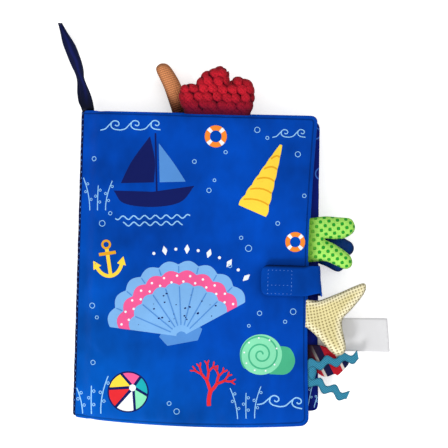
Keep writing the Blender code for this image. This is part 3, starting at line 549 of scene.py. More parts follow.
@dataclass(frozen=True, kw_only=True)
class BubbleCloth(CrinkleCloth):
    """A page with a few rings of pale bubbles printed on its dark ground."""

    ring: Rgb
    pitch: float = 0.034

    def paint(self, g: Graph) -> Colour:
        """Thin rings about scattered points, most of them left out."""
        cells = g.node("ShaderNodeTexVoronoi", voronoi_dimensions="2D", named={
            "Vector": g.place, "Scale": 1 / self.pitch, "Randomness": 0.8})
        line = g.rest(g.step(g.apart(cells.outputs["Distance"], 0.13), 0.014, 0.006))
        some = g.step(g.axis(0, cells.outputs["Color"]), 0.62, 0.01)
        return g.mix(g.times(line, some), self.colour, self.ring)


@dataclass(frozen=True)
class Satin(Finish):
    """Smooth satin with a fine rib across it."""

    def relief(self, g: Graph) -> Socket:
        """Fine ribs and slow ripples."""
        ripples = g.bump(g.noise(0.006, 2.0), 0.00012)
        return g.bump(g.ripple(g.axis(1), self.weave), self.weave_depth, ripples)


@dataclass(frozen=True, kw_only=True)
class FoldedSatin(Satin):
    """Satin folded in half along its length, with a lighter streak where the fold catches the light."""

    streak: Rgb

    def paint(self, g: Graph) -> Colour:
        """The streak lies beside the middle of the band and wanders a little."""
        off = g.apart(g.given("across"), g.fit(g.noise(0.018, 1.0), 1.2, -0.55))
        return g.mix(g.step(off, 0.28, 0.22), self.streak, self.colour)


@dataclass(frozen=True, kw_only=True)
class DottedVelour(Finish):
    """Short-pile velour with a lattice of darker dots."""

    dot: Rgb
    pitch: float = 0.0047
    size: float = 0.0028
    turn: float = 37.0

    def paint(self, g: Graph) -> Colour:
        """The dots over the ground, with the pile's mottle."""
        pile = g.fit(g.noise(0.0009, 3.0), 0.55, 0.72)
        return g.shade(g.mix(g.dots(self.pitch, self.size, self.turn, 0.16), self.colour, self.dot), pile)

    def relief(self, g: Graph) -> Socket:
        """Pile, sunk a little at the dots."""
        pile = g.bump(g.noise(0.0007, 3.0), 0.0004)
        return g.bump(g.rest(g.dots(self.pitch, self.size, self.turn, 0.3)), 0.0005, pile)


@dataclass(frozen=True, kw_only=True)
class MeshKnit(Finish):
    """Open knit with a lattice of small eyes."""

    eye: Rgb
    middle_shade: Rgb
    pitch: float = 0.0024
    turn: float = -9.0

    def paint(self, g: Graph) -> Colour:
        """Darker eyes in the knit, over a ground with painted shade that deepens away from the seams."""
        away = g.fit(g.noise(0.012, 1.0), 0.004, g.given("edge_distance"))
        ground = g.mix(g.step(away, 0.0062, 0.0026), self.colour, self.middle_shade)
        return g.mix(g.times(g.dots(self.pitch, self.pitch * 0.46, self.turn, 0.45), 0.85), ground, self.eye)

    def relief(self, g: Graph) -> Socket:
        """Eyes sunk between round threads."""
        fine = g.bump(g.noise(0.0005, 2.0), 0.00010)
        return g.bump(g.rest(g.dots(self.pitch, self.pitch * 0.6, self.turn, 0.7)), 0.0005, fine)


@dataclass(frozen=True)
class DiamondKnit(Finish):
    """Knit whose crossing ribs leave small diamonds."""

    pitch: float = 0.0017
    turn: float = 12.0

    def diamonds(self, g: Graph) -> Socket:
        """Height of the crossing ribs, one set stronger than the other."""
        one, two = (g.ripple(g.along(self.turn + turn), self.pitch) for turn in (58, -32))
        return g.times(one, g.fit(two, 0.6, 0.4))

    def paint(self, g: Graph) -> Colour:
        """Painted shade between the ribs."""
        return g.shade(self.colour, g.fit(self.diamonds(g), 0.62, 0.58))

    def relief(self, g: Graph) -> Socket:
        """Ribs over a fine fuzz."""
        return g.bump(self.diamonds(g), 0.0005, g.bump(g.noise(0.0006, 3.0), 0.00012))


@dataclass(frozen=True, kw_only=True)
class BobbleKnit(Finish):
    """Bobbled plush, with painted shade in the hollows between its bobbles."""

    hollow_shade: Rgb

    def paint(self, g: Graph) -> Colour:
        """The painted shade in the hollows comes from how deep the point lies."""
        fuzz = g.fit(g.noise(0.0014, 3.0), 1.1, 0.42)
        return g.shade(g.mix(g.given("hollow_shade"), self.colour, self.hollow_shade), fuzz)

    def relief(self, g: Graph) -> Socket:
        """Curly pile in short slanting rows."""
        rows = g.times(g.ripple(g.along(40.0), 0.0018), g.ripple(g.along(-50.0), 0.0021))
        return g.bump(rows, 0.0005, g.bump(g.noise(0.0015, 2.0), 0.0009))


@dataclass(frozen=True, kw_only=True)
class BlockStripes(Finish):
    """Ribbon woven in uneven blocks of colour across its length."""

    second: Rgb
    third: Rgb
    turn: float = -28.0
    pitch: float = 0.0150

    def paint(self, g: Graph) -> Colour:
        """Blocks by the place along the ribbon."""
        share = g.math("FRACT", g.math("DIVIDE", g.along(self.turn), self.pitch))
        first = g.mix(g.step(share, 0.50, 0.01), self.colour, self.third)
        return g.mix(g.step(share, 0.64, 0.01), first, self.second)

    def relief(self, g: Graph) -> Socket:
        """Grosgrain ribs."""
        return g.bump(g.ripple(g.along(self.turn), 0.0009), 0.00015)


@dataclass(frozen=True)
class Braid(Finish):
    """Plaited braid with slanting strands."""

    def strands(self, g: Graph) -> Socket:
        """Height of the strands."""
        return g.math("MAXIMUM", *(g.ripple(g.along(turn), 0.0013) for turn in (50, -50)))

    def paint(self, g: Graph) -> Colour:
        """Painted shade between strands."""
        return g.shade(self.colour, g.fit(self.strands(g), 0.6, 0.5))

    def relief(self, g: Graph) -> Socket:
        """Rounded strands."""
        return g.bump(self.strands(g), 0.0003)


# Painted light and shade over the cover's creases, painted shade along the pressed line by its edge, and painted shade
# that deepens the blue towards the cover's head and fore-edge.
COVER_CLOTH = CrinkleCloth("printed_cover_cloth", rgb(0, 80, 174), 0.42, tone=0.22, specular=0.03, seamed=True,
                           painted_shade=rgb(0, 67, 172), painted_shade_span=(0.0, 0.13), painted_shade_turn=135.0)
# The print takes a weaker painted light and shade over the same creases.
COVER_INK = CrinkleCloth("cover_ink", Ink.WHITE.value, 0.45, tone=0.10, specular=0.05, shading=0.5, inked=True)
PAGE_CLOTH = BubbleCloth("page_cloth", rgb(5, 22, 112), 0.46, ring=rgb(60, 110, 200), specular=0.05, shading=0.0)
PIPING_CLOTH = Finish("piping_cloth", rgb(5, 12, 62), weave=0.0009, weave_depth=0.00012)
# Painted shade towards the fluke's seams.
NAVY_SATIN = Satin("navy_satin", rgb(0, 54, 126), 0.3, weave=0.0007, tone=0.6, follows=True, specular=0.08,
                   rim_shade=0.62)
# Painted highlight along the streak, and painted shade towards the loop's root at the head of the spine.
LOOP_SATIN = FoldedSatin("folded_navy_satin", rgb(2, 10, 52), 0.3, weave=0.0007, tone=0.3, specular=0.12,
                         streak=rgb(10, 20, 84), painted_shade=rgb(0, 5, 26), painted_shade_axis=1, painted_shade_span=(0.1200, 0.1480))
# Painted light and shade over the strap's creases, and a painted shadow as a dark band along its upper edge over the
# front cover.
STRAP_CLOTH = CrinkleCloth("strap_cloth", rgb(0, 67, 168), 0.44, crinkle=0.0003, tone=0.24, specular=0.03,
                           rim_shade=0.88, rim_width=0.0036)
TAPE_PILE = Finish("hook_and_loop_tape", rgb(14, 46, 128), 0.85, 0.1, weave=0.0011, weave_depth=0.0003,
                   specular=0.2)
# Painted shade in the hollows between the bobbles, towards the seams and towards the root at the head.
RED_PLUSH = BobbleKnit("red_bobble_plush", rgb(206, 30, 48), 0.85, 0.05, hollow_shade=rgb(84, 0, 26), follows=True,
                       tone=0.36, rim_shade=0.45, rim_width=0.0055, painted_shade=rgb(66, 0, 34), painted_shade_axis=1,
                       painted_shade_span=(0.1190, 0.1390))
# Painted shade between the knit's ribs, towards the seams and towards the root at the head.
ORANGE_KNIT = DiamondKnit("orange_knit", rgb(232, 152, 100), 0.8, 0.05, follows=True, rim_shade=0.4,
                          painted_shade=rgb(104, 52, 38), painted_shade_axis=1, painted_shade_span=(0.1180, 0.1440))
# Painted shade towards the seams and towards the root at the fore-edge.
GREEN_VELOUR = DottedVelour("green_velour", rgb(170, 236, 104), 0.75, 0.05, dot=rgb(36, 164, 48), follows=True,
                            tone=0.3, rim_shade=0.25, rim_width=0.0025, painted_shade=rgb(96, 150, 40),
                            painted_shade_span=(0.0860, 0.0960))
# Painted shade towards the seams and in the middle of the fluke, away from them.
CREAM_KNIT = MeshKnit("cream_mesh_knit", rgb(255, 246, 206), 0.7, eye=rgb(146, 126, 72), middle_shade=rgb(232, 220, 162),
                      follows=True, tone=0.24, rim_shade=0.5, rim_width=0.0024)
LABEL_SATIN = Satin("white_satin", rgb(226, 226, 228), 0.35, tone=0.10, specular=0.3)
# Painted shade between the strands and towards the braid's edges.
TEAL_BRAID = Braid("teal_braid", rgb(56, 140, 172), rim_shade=0.42, rim_width=0.0018)
# Painted shadow towards the ribbon's root at the fore-edge, where it lies in the shadow of the cream fluke above it.
STRIPED_WEAVE = BlockStripes("block_striped_weave", rgb(184, 18, 36), second=rgb(10, 16, 64),
                             third=rgb(214, 206, 198), painted_shade=rgb(26, 6, 26), painted_shade_span=(0.0900, 0.1060))
PALE_THREAD = Finish("pale_thread", rgb(96, 150, 236), 0.5, weave=0.0004, specular=0.2)


@dataclass(frozen=True)
class BookSizes:
    """The sizes that the solids were built from."""

    gutter_x: float = -0.0901
    seam_x: float = -0.0920
    fore_x: float = 0.0901
    head_y: float = 0.1215
    fore_bow: float = 0.0036
    foot_bow: float = 0.0040
    leaf_height: float = 0.2243
    leaf_raise: float = 0.00535
    edge_half: float = 0.00075
    crown: float = 0.00235
    pillow_edge: float = 0.0095
    leaf_pitch: float = 0.0065
    seam_pitch: float = 0.0019
    seam_flat: float = 0.0006
    seam_flare: float = 0.0125
    seam_z: float = 0.01285
    strap_drop: float = 0.0060
    strap_width: float = 0.0238
    edge_gap: float = 0.0003

    def seam_share(self, x: Array) -> Array:
        """0 at the spine seam and 1 where a leaf has its full thickness."""
        return smooth((x - self.gutter_x - self.seam_flat) / self.seam_flare)

    def middle(self, level: int, x: Array) -> Array:
        """Height of a leaf's middle plane."""
        step = self.seam_pitch + (self.leaf_pitch - self.seam_pitch) * self.seam_share(x)
        return self.seam_z + (level - 1.5) * step

    def level_z(self, level: int) -> float:
        """Height of a leaf's middle plane away from the spine."""
        return self.seam_z + (level - 1.5) * self.leaf_pitch

    def ends(self, level: int) -> tuple[float, float]:
        """Foot and head of a leaf along Y."""
        if level in (0, 3):
            return -self.head_y, self.head_y
        return self.leaf_raise - self.leaf_height / 2, self.leaf_raise + self.leaf_height / 2

    def fore_edge(self, level: int, y: Array) -> Array:
        """The x of a leaf's fore-edge at a height on the page."""
        if level in (0, 3):
            return self.fore_x - self.fore_bow * (1 - np.clip(y / self.head_y, -1, 1) ** 2)
        foot, head = self.ends(level)
        share = (head - y) / (head - foot)
        return self.fore_x + 0.0018 + 0.0054 * share - (0.0008 if level == 1 else 0.0)

    def root_x(self, level: int, y: float) -> float:
        """Where a piece that is sewn into a leaf's fore-edge at y begins along X."""
        return float(self.fore_edge(level, np.array(y))) + self.edge_gap


BOOK = BookSizes()


@dataclass
class Inflation:
    """Cloth filled with air for a few steps, so that its seams pucker. limit caps how far a point moves."""

    pressure: float = 4.0
    steps: int = 20
    limit: float = 0.002
    slack: float = 0.0

    def blown(self, obj: Piece, pinned: Array) -> Array:
        """Run the cloth.

        Args:
            obj: a closed mesh, taken as the cloth at rest.
            pinned: which points stay where they are.

        Returns:
            The points after the last step, each within the limit of where it began.
        """
        start = places_of(obj)
        group = obj.vertex_groups.new(name="held")
        group.add([int(i) for i in np.flatnonzero(pinned)], 1.0, "REPLACE")
        cloth = obj.modifiers.new("air", "CLOTH")
        s = cloth.settings
        s.quality = 6
        s.mass = 0.15
        s.use_pressure = True
        s.uniform_pressure_force = self.pressure
        s.vertex_group_mass = "held"
        s.shrink_min = -self.slack
        s.bending_stiffness = 0.3
        s.effector_weights.gravity = 0.0
        cloth.collision_settings.use_collision = False
        cloth.point_cache.frame_start, cloth.point_cache.frame_end = 1, self.steps
        for step in range(1, self.steps + 1):
            bpy.context.scene.frame_set(step)
        blown = places_of(obj.evaluated_get(bpy.context.evaluated_depsgraph_get()))
        obj.modifiers.remove(cloth)
        obj.vertex_groups.clear()
        bpy.context.scene.frame_set(1)
        move = blown - start
        far = np.linalg.norm(move, axis=1, keepdims=True)
        return start + move * np.minimum(1.0, self.limit / np.maximum(far, 1e-9))


@dataclass
class LeafPanel:
    """One padded leaf as a closed shell of two cloths, sewn round its edges and into the spine."""

    node: str
    level: int
    outer: Finish
    inner: Finish
    step: float = 0.004
    pucker: float = 0.0005
    seed: int = 1
    head_radius: float = 0.0040
    foot_radius: float = 0.0040
    rim: float = 0.00045
    spare: float = 0.0
    lap: float = 0.0010
    shell: Piece | None = field(default=None, repr=False)

    def plan(self) -> tuple[Array, int, int]:
        """Grid points over the leaf's outline, and the number of cells each way."""
        foot, head = BOOK.ends(self.level)
        left = BOOK.gutter_x
        reach = float(BOOK.fore_edge(self.level, np.array((foot + head) / 2)))
        nx = int(round((reach - left) / self.step))
        ny = int(round((head - foot) / self.step))
        j, i = np.meshgrid(np.arange(ny + 1), np.arange(nx + 1), indexing="ij")
        x = left + (reach - left) * i / nx
        y = foot + (head - foot) * j / ny
        for radius, up in ((self.head_radius, 1), (self.foot_radius, -1)):
            centre_x, centre_y = reach - radius, (head - radius) if up > 0 else (foot + radius)
            a = np.clip((x - centre_x) / radius, 0, 1)
            b = np.clip(up * (y - centre_y) / radius, 0, 1)
            corner = (a > 0) & (b > 0)
            x = np.where(corner, centre_x + radius * a * np.sqrt(1 - b**2 / 2), x)
            y = np.where(corner, centre_y + up * radius * b * np.sqrt(1 - a**2 / 2), y)
        x = left + (x - left) * (BOOK.fore_edge(self.level, y) - left) / (reach - left)
        if self.level in (0, 3):
            x = x - self.lap * np.clip(1 - (x - left) / 0.006, 0, 1) ** 2
            s = np.clip((x - left) / (BOOK.fore_x - left), 0, 1)
            lift = BOOK.foot_bow * (1 - 4 * s * (1 - s))
            y = y + lift * np.clip(1 - (y - foot) / (head - foot), 0, 1) ** 3
        return np.stack([x.ravel(), y.ravel()], axis=1), nx, ny

    def border(self, nx: int, ny: int) -> list[int]:
        """Grid indices of the outline, counter-clockwise from the foot of the spine."""
        grid = np.arange((nx + 1) * (ny + 1)).reshape(ny + 1, nx + 1)
        return np.concatenate([grid[0], grid[1:, nx], grid[ny, nx - 1::-1], grid[ny - 1:0:-1, 0]]).tolist()

    def build(self) -> Piece:
        """Make the shell, fill it with air and shape it to the leaf."""
        flat, nx, ny = self.plan()
        ring = self.border(nx, ny)
        outline = flat[ring]
        chain = outline[: 2 * nx + ny + 1]
        away, _ = nearest_on_chain(flat, chain)
        count, width = len(flat), nx + 1
        edge = np.isin(np.arange(count), ring)
        height = np.where(edge, self.rim, BOOK.edge_half + BOOK.crown * pillow(away / BOOK.pillow_edge))
        layers = [np.column_stack([flat, height]), np.column_stack([flat, -height])]
        away_from = outline - outline.mean(axis=0)
        rim = outline + 0.0004 * away_from / np.linalg.norm(away_from, axis=1)[:, None]
        layers.append(np.column_stack([rim, np.zeros(len(rim))]))
        faces = []
        for j in range(ny):
            for i in range(nx):
                a = j * width + i
                quad = (a, a + 1, a + 1 + width, a + width)
                faces += [quad, tuple(count + k for k in reversed(quad))]
        for k, here in enumerate(ring):
            n = (k + 1) % len(ring)
            r, s = 2 * count + k, 2 * count + n
            faces += [(here, r, s, ring[n]), (count + here, count + ring[n], s, r)]
        shell = make_object(f"{self.node}_shell", np.vstack(layers), faces, self.outer, self.inner)
        which = [0 if max(f) < count or (min(f) < count and max(f) >= 2 * count) else 1 for f in faces]
        shell.data.polygons.foreach_set("material_index", np.array(which, np.int32))
        points = places_of(shell)
        points = self.filled_with_air(shell, points)
        put_places(shell, self.shaped(points, chain))
        self.shell = subdivided(shell)
        away, _ = nearest_on_chain(places_of(self.shell)[:, :2], chain)
        keep_on(self.shell, "edge_distance", away)
        return self.shell

    def filled_with_air(self, shell: Piece, points: Array) -> Array:
        """The shell's points after a short inflation from a thinner start."""
        thin = points.copy()
        thin[:, 2] *= 0.6
        put_places(shell, thin)
        pinned = thin[:, 0] < BOOK.gutter_x + 0.003
        blown = Inflation(pressure=1.2, steps=14, limit=0.004, slack=0.012).blown(shell, pinned)
        blown[:, :2] = thin[:, :2] + (blown[:, :2] - thin[:, :2]) * 0.5
        return blown

    def shaped(self, points: Array, chain: Array) -> Array:
        """Hold the cloth in the leaf's own thickness, pucker its seam and bring it to the spine."""
        x, y, z = points.T
        away, along = nearest_on_chain(points[:, :2], chain)
        limit = BOOK.edge_half + BOOK.crown * pillow(away / BOOK.pillow_edge)
        side = np.sign(z)
        size = np.abs(z)
        size = np.minimum(size, limit) + self.spare * smooth((size - limit) / 0.004) * (side > 0)
        band = smooth(away / 0.004) * (1 - smooth((away - 0.005) / 0.019))
        size = size - self.pucker * band * fold_waves(along + 0.004 * side, 0.021, self.seed)
        deep = smooth((away - 0.010) / 0.015) * self.pucker * 0.35
        size = size - deep * fold_waves(x * 0.8 + y * 0.6 + 0.02 * side, 0.067, self.seed + 7)
        size = np.maximum(size, np.minimum(np.abs(z), self.rim))
        share = (BOOK.edge_half + BOOK.crown * BOOK.seam_share(x)) / (BOOK.edge_half + BOOK.crown)
        return np.column_stack([x, y, BOOK.middle(self.level, x) + side * size * share])

    def dress(self, body: str, slot: str) -> None:
        """Let the shell stand for the leaf's cloths, wadding and film."""
        nodes = [f"{self.node}_{n}" for n in ("face_cloth", "reverse_cloth", "wadding", "crinkle_film")]
        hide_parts(*nodes)
        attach(self.shell, body)


@dataclass(frozen=True)
class Mark:
    """One printed shape: a filled outline, or a line of some width."""

    points: Sequence
    ink: Ink
    width: float = 0.0
    closed: bool = False


def disc(x: float, y: float, radius: float, squash: float = 1.0) -> Array:
    """An ellipse's outline."""
    t = np.linspace(0, 2 * math.pi, max(10, int(radius * 9000)), endpoint=False)
    return np.stack([radius * np.cos(t), radius * squash * np.sin(t)], axis=1) + (x, y)


def bearing(angle: float) -> Array:
    """The unit vector at an angle in radians from +Y towards +X."""
    return np.array([math.sin(angle), math.cos(angle)])


class Motifs:
    """Plain sea-side shapes, each drawn about its own middle in millimetres."""

    @staticmethod
    def scallop() -> list[Mark]:
        """A large ribbed shell with a dotted band."""
        t = np.radians(np.linspace(-72, 72, 91))
        lobes = 1 + 0.055 * np.abs(np.sin((t + t[-1]) / (2 * t[-1]) * math.pi * 9))
        rays = np.stack([np.sin(t), np.cos(t)], axis=1)

        def fan(low: float, high: float) -> Array:
            """A band of the fan between two radii."""
            return np.vstack([rays * (high * lobes)[:, None], rays * (low * lobes)[::-1, None] * (-1, 1)])
        marks = [
            Mark([(-17, 3), (-12, -5), (12, -5), (17, 3), (9, 12), (-9, 12)], Ink.SKY_DEEP),
            Mark(fan(4, 56), Ink.SKY), Mark(fan(40, 49), Ink.PINK),
        ]
        for angle in np.radians(np.linspace(-72, 72, 10))[1:-1]:
            for low, high in ((9, 39), (50, 55)):
                marks.append(Mark([bearing(angle) * low, bearing(angle) * high], Ink.SKY_DEEP, 0.9))
        for k, angle in enumerate(np.radians(np.linspace(-68, 68, 23))):
            marks.append(Mark(disc(*bearing(angle) * (42.8 if k % 2 else 47.4), 1.0), Ink.WHITE))
        rng = np.random.default_rng(5)
        for _ in range(26):
            angle, radius = rng.uniform(-1.15, 1.15), rng.uniform(14, 36)
            marks.append(Mark(disc(*bearing(angle) * radius, rng.uniform(0.5, 1.1), 0.7), Ink.NAVY))
        return marks

    @staticmethod
    def turret() -> list[Mark]:
        """A long pointed shell with slanting whorls."""
        s = np.linspace(0, 1, 61)
        side = 9.5 * (1 - s) ** 0.9 + 0.8 + 1.0 * np.abs(np.sin(s * math.pi * 6)) * (1 - s)
        y = -24 + 50 * s
        outline = np.vstack([np.stack([side, y], 1), np.stack([-side[::-1], y[::-1]], 1)])
        bow = np.linspace(-1, 1, 13)

        def band(at: float) -> Mark:
            """One slanting line between two whorls."""
            half = 9.5 * (1 - at) ** 0.9 + 0.6
            return Mark(np.stack([bow * half, -24 + 50 * at + 1.6 * bow - 1.8 * bow**2], 1), Ink.GOLD, 1.1)
        return [Mark(outline, Ink.YELLOW)] + [band(k / 6) for k in range(1, 6)]

    @staticmethod
    def boat() -> list[Mark]:
        """A dark boat under sail."""
        hull = spline([(-27, -6), (-20, -15), (0, -18), (19, -15), (29, -4)])
        main = spline([(1, -1), (2, 14), (-1, 31)])
        back = spline([(-1, 31), (-14, 14), (-22, -1)])
        jib = spline([(5, 26), (15, 12), (23, -1)])
        return [
            Mark(np.vstack([hull, [(0, -7.5)]]), Ink.NAVY), Mark(np.vstack([main, back]), Ink.NAVY),
            Mark(np.vstack([jib, [(5, -1)]]), Ink.SKY_DEEP), Mark([(2.8, -8), (2.8, 33)], Ink.NAVY, 1.1),
        ]

    @staticmethod
    def waves(rows: int = 2, length: float = 60) -> list[Mark]:
        """Rows of small waves."""
        marks = []
        for row in range(rows):
            x = np.linspace(-length / 2 + 6 * row, length / 2 - 6 * row, 60)
            marks.append(Mark(np.stack([x, 1.5 * np.sin(x * 0.75) - 5 * row], 1), Ink.PALE, 0.9))
        return marks

    @staticmethod
    def whorl() -> list[Mark]:
        """A round snail shell with a spiral line."""
        t = np.linspace(0, 5.2 * math.pi, 150)
        coil = polar(1.6 + 15.4 * (t / t[-1]) ** 1.15, t)
        lip = spline([(15, 6), (24, 3), (27, -8), (20, -17), (6, -16.4)])
        spots = [Mark(disc(*bearing(k * 0.66 + 0.3)[::-1] * 13.6, 0.8), Ink.WHITE) for k in range(9)]
        return [Mark(np.vstack([lip, [(0, -4)]]), Ink.MINT_DEEP), Mark(disc(0, 0, 17.0, 0.96), Ink.MINT),
                Mark(coil, Ink.MINT_DEEP, 1.3), *spots]

    @staticmethod
    def anchor() -> list[Mark]:
        """An anchor with a ring."""
        arms = np.radians(np.linspace(-158, -22, 41))
        bow = np.stack([13 * np.cos(arms), 4 + 17 * np.sin(arms)], axis=1)
        fluke = np.array([(-4.4, -1.5), (0, 6.5), (4.4, -1.5)])
        return [
            Mark(bow, Ink.YELLOW, 3.4), Mark([(0, -13), (0, 14)], Ink.YELLOW, 3.4),
            Mark([(-8, 8.5), (8, 8.5)], Ink.GOLD, 3.0), Mark(disc(0, 17, 3.6), Ink.GOLD, 2.0, True),
            Mark(turned(fluke, 22) + bow[0], Ink.YELLOW), Mark(turned(fluke, -22) + bow[-1], Ink.YELLOW),
        ]

    @staticmethod
    def ball() -> list[Mark]:
        """A beach ball in slices of bright colour."""
        hub = np.array([3.0, 4.0])
        marks = [Mark(disc(0, 0, 17.0), Ink.NAVY)]
        for k, ink in enumerate((Ink.TEAL, Ink.PINK, Ink.YELLOW, Ink.RED, Ink.WHITE, Ink.MINT)):
            t = np.radians(np.linspace(60 * k + 4, 60 * k + 56, 16))
            marks.append(Mark(np.vstack([polar(15.8, t), [hub + polar(2.4, t[8])]]), ink))
        marks.append(Mark(disc(*hub, 2.8), Ink.WHITE))
        return marks

    @staticmethod
    def lifebuoy() -> list[Mark]:
        """A ring in orange with four pale bands."""
        radius, width = 8.2, 5.0
        arcs = [np.radians(np.linspace(90 * k + 33, 90 * k + 57, 7)) for k in range(4)]
        return [Mark(disc(0, 0, radius), Ink.ORANGE, width, True),
                *(Mark(polar(radius, arc), Ink.WHITE, width) for arc in arcs)]

    @staticmethod
    def coral(width: float = 3.4, seed: int = 3) -> list[Mark]:
        """A branching coral."""
        rng = np.random.default_rng(seed)
        marks: list[Mark] = []

        def grow(start: Array, angle: float, length: float, thick: float, left: int) -> None:
            """One branch and the two that leave it."""
            bend = rng.uniform(-0.25, 0.25)
            s = np.linspace(0, 1, 9)[:, None]
            way = bearing(angle)
            path = start + s * length * way + bend * length * s * (1 - s) * np.array([way[1], -way[0]])
            marks.append(Mark(path, Ink.RED, thick))
            marks.append(Mark(disc(*path[-1], thick * 0.52), Ink.RED))
            if left:
                for side in (-1, 1):
                    turn = side * rng.uniform(0.35, 0.62)
                    grow(path[-1], angle + turn, length * rng.uniform(0.68, 0.82), thick * 0.78, left - 1)
        grow(np.array([0.0, -16.0]), 0.0, 12.0, width, 4)
        return marks

    @staticmethod
    def curls(count: int = 3) -> list[Mark]:
        """A row of line-drawn wave crests on one running line."""
        crest = [(-7.0, 0.0), (-3.6, 0.9), (-0.9, 3.6), (2.0, 6.2), (5.0, 5.6), (5.6, 3.7), (4.2, 2.7), (2.9, 3.5)]
        front = [(0.6, 5.2), (0.2, 2.6), (2.2, 0.7), (6.5, 0.0)]
        starts = [(k - (count - 1) / 2) * 13.5 for k in range(count)]
        return [Mark(spline([(x0 + x, y) for x, y in line]), Ink.PALE, 0.75)
                for x0 in starts for line in (crest, front)]

    @staticmethod
    def grass(seed: int = 1, tall: float = 34.0) -> list[Mark]:
        """Three separate line-drawn blades, each with round seeds."""
        rng = np.random.default_rng(seed)
        marks = []
        s = np.linspace(0, 1, 22)
        for x0, lean in ((-7.0, -0.20), (0.0, 0.04), (7.0, 0.24)):
            reach = tall * rng.uniform(0.6, 1.0)
            x, y = x0 + lean * reach * s**2, reach * s
            marks.append(Mark(np.stack([x, y], 1), Ink.PALE, 0.75))
            for k in range(7, len(s), 5):
                side = 1 if (k // 5) % 2 else -1
                marks.append(Mark(disc(x[k] + side * 1.9, y[k], 0.95), Ink.PALE, 0.5, True))
        return marks

    @staticmethod
    def garland(radius: float, first: float, last: float) -> list[Mark]:
        """An arc of round and long white beads about the origin, from one angle in degrees to another."""
        long = np.array([(-2.1, 0.0), (0.0, -3.9), (2.1, 0.0), (0.0, 3.9)])
        marks = []
        count = int(round((last - first) / 7.0))
        for k in range(count + 1):
            angle = math.radians(first + (last - first) * k / count)
            centre = bearing(angle) * radius
            bead = turned(long, -math.degrees(angle)) + centre if k % 2 else disc(*centre, 1.25)
            marks.append(Mark(bead, Ink.WHITE))
        return marks


@dataclass
class PrintedFace:
    """Printed shapes laid on one face of a leaf."""

    name: str
    leaf: LeafPanel
    above: bool
    finish: Finish
    lift: float = 0.00007
    per_level: float = 0.00004
    levels: int = 5
    step: float = 0.0019
    points: list = field(default_factory=list)
    faces: list = field(default_factory=list)
    inks: list = field(default_factory=list)
    layer: int = 0

    def add(self, marks: list[Mark], x: float, y: float, turn: float = 0.0, size: float = 1.0) -> None:
        """Place a motif, its middle at x, y millimetres."""
        boxes = []
        for mark in marks:
            raw = np.asarray(mark.points, float)
            low, high = raw.min(axis=0) - mark.width / 2, raw.max(axis=0) + mark.width / 2
            under = [level for a, b, level in boxes if (a < high).all() and (b > low).all()]
            self.layer = min(max(under, default=-1) + 1, self.levels - 1)
            boxes.append((low, high, self.layer))
            flat = turned(raw * size, turn) * MILLIMETRE + (x * MILLIMETRE, y * MILLIMETRE)
            if not self.above:
                flat = flat * (-1, 1)
            if mark.width:
                self.line(flat, mark.width * size * MILLIMETRE, mark)
            else:
                self.patch(flat, mark)

    def keep(self, flat: Array, faces: Sequence, mark: Mark) -> None:
        """Store a shape's points and faces with its ink and layer."""
        base = sum(len(p) for p in self.points)
        self.points.append(np.column_stack([flat, np.full(len(flat), self.layer)]))
        self.faces += [tuple(base + i for i in f) for f in faces]
        self.inks.append(np.tile(mark.ink.value, (len(flat), 1)))

    def patch(self, flat: Array, mark: Mark) -> None:
        """A filled outline."""
        outline = resampled(closed(turning_left(flat)), min(0.0012, self.step / 2))[:-1]
        wide = max(np.ptp(outline, axis=0)) > 2.4 * self.step
        self.keep(*filled(outline, [lattice(outline, self.step, self.step / 3)] if wide else []), mark)

    def line(self, flat: Array, width: float, mark: Mark) -> None:
        """A line of even width."""
        path = closed(flat) if mark.closed else flat
        reach = np.linalg.norm(np.diff(path, axis=0), axis=1).sum()
        path = resampled(path, min(0.0011, reach / 22) if mark.closed else 0.0011)
        if mark.closed:
            path = path[:-1]
            along = np.roll(path, -1, axis=0) - np.roll(path, 1, axis=0)
        else:
            along = np.gradient(path, axis=0)
        along /= np.maximum(np.linalg.norm(along, axis=1), 1e-12)[:, None]
        across = np.stack([-along[:, 1], along[:, 0]], axis=1) * width / 2
        count = len(path)
        rows = max(2, 1 + math.ceil(width / self.step))
        flat = np.vstack([path + share * across for share in np.linspace(-1, 1, rows)])
        last = count if mark.closed else count - 1
        faces = [(r + i, r + (i + 1) % count, r + count + (i + 1) % count, r + count + i)
                 for r in range(0, (rows - 1) * count, count) for i in range(last)]
        self.keep(flat, faces, mark)

    def build(self, body: str) -> Piece:
        """Lay every stored shape on the leaf's cloth."""
        mesh = self.leaf.shell.data
        mesh.calc_loop_triangles()
        tree = BVHTree.FromPolygons([v.co for v in mesh.vertices],
                                    [tuple(t.vertices) for t in mesh.loop_triangles])
        flat = np.vstack(self.points)
        way = -1.0 if self.above else 1.0
        start = -way * 0.1
        placed, missed = np.zeros((len(flat), 3)), np.zeros(len(flat), bool)
        for i, (x, y, layer) in enumerate(flat):
            hit, *_ = tree.ray_cast(Vector((x, y, start)), Vector((0, 0, way)))
            missed[i] = hit is None
            if hit is not None:
                placed[i] = (x, y, hit.z - way * (self.lift + layer * self.per_level))
        faces = [f if self.above else tuple(reversed(f)) for f in self.faces if not missed[list(f)].any()]
        made = make_object(self.name, placed, faces, self.finish)
        keep_on(made, "ink", np.column_stack([np.vstack(self.inks), np.ones(len(flat))]), "FLOAT_COLOR", "color")
        if missed.any():
            bm = bmesh.new()
            bm.from_mesh(made.data)
            bmesh.ops.delete(bm, geom=[v for v in bm.verts if not v.link_faces], context="VERTS")
            bm.to_mesh(made.data)
            bm.free()
        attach(made, body)
        return made


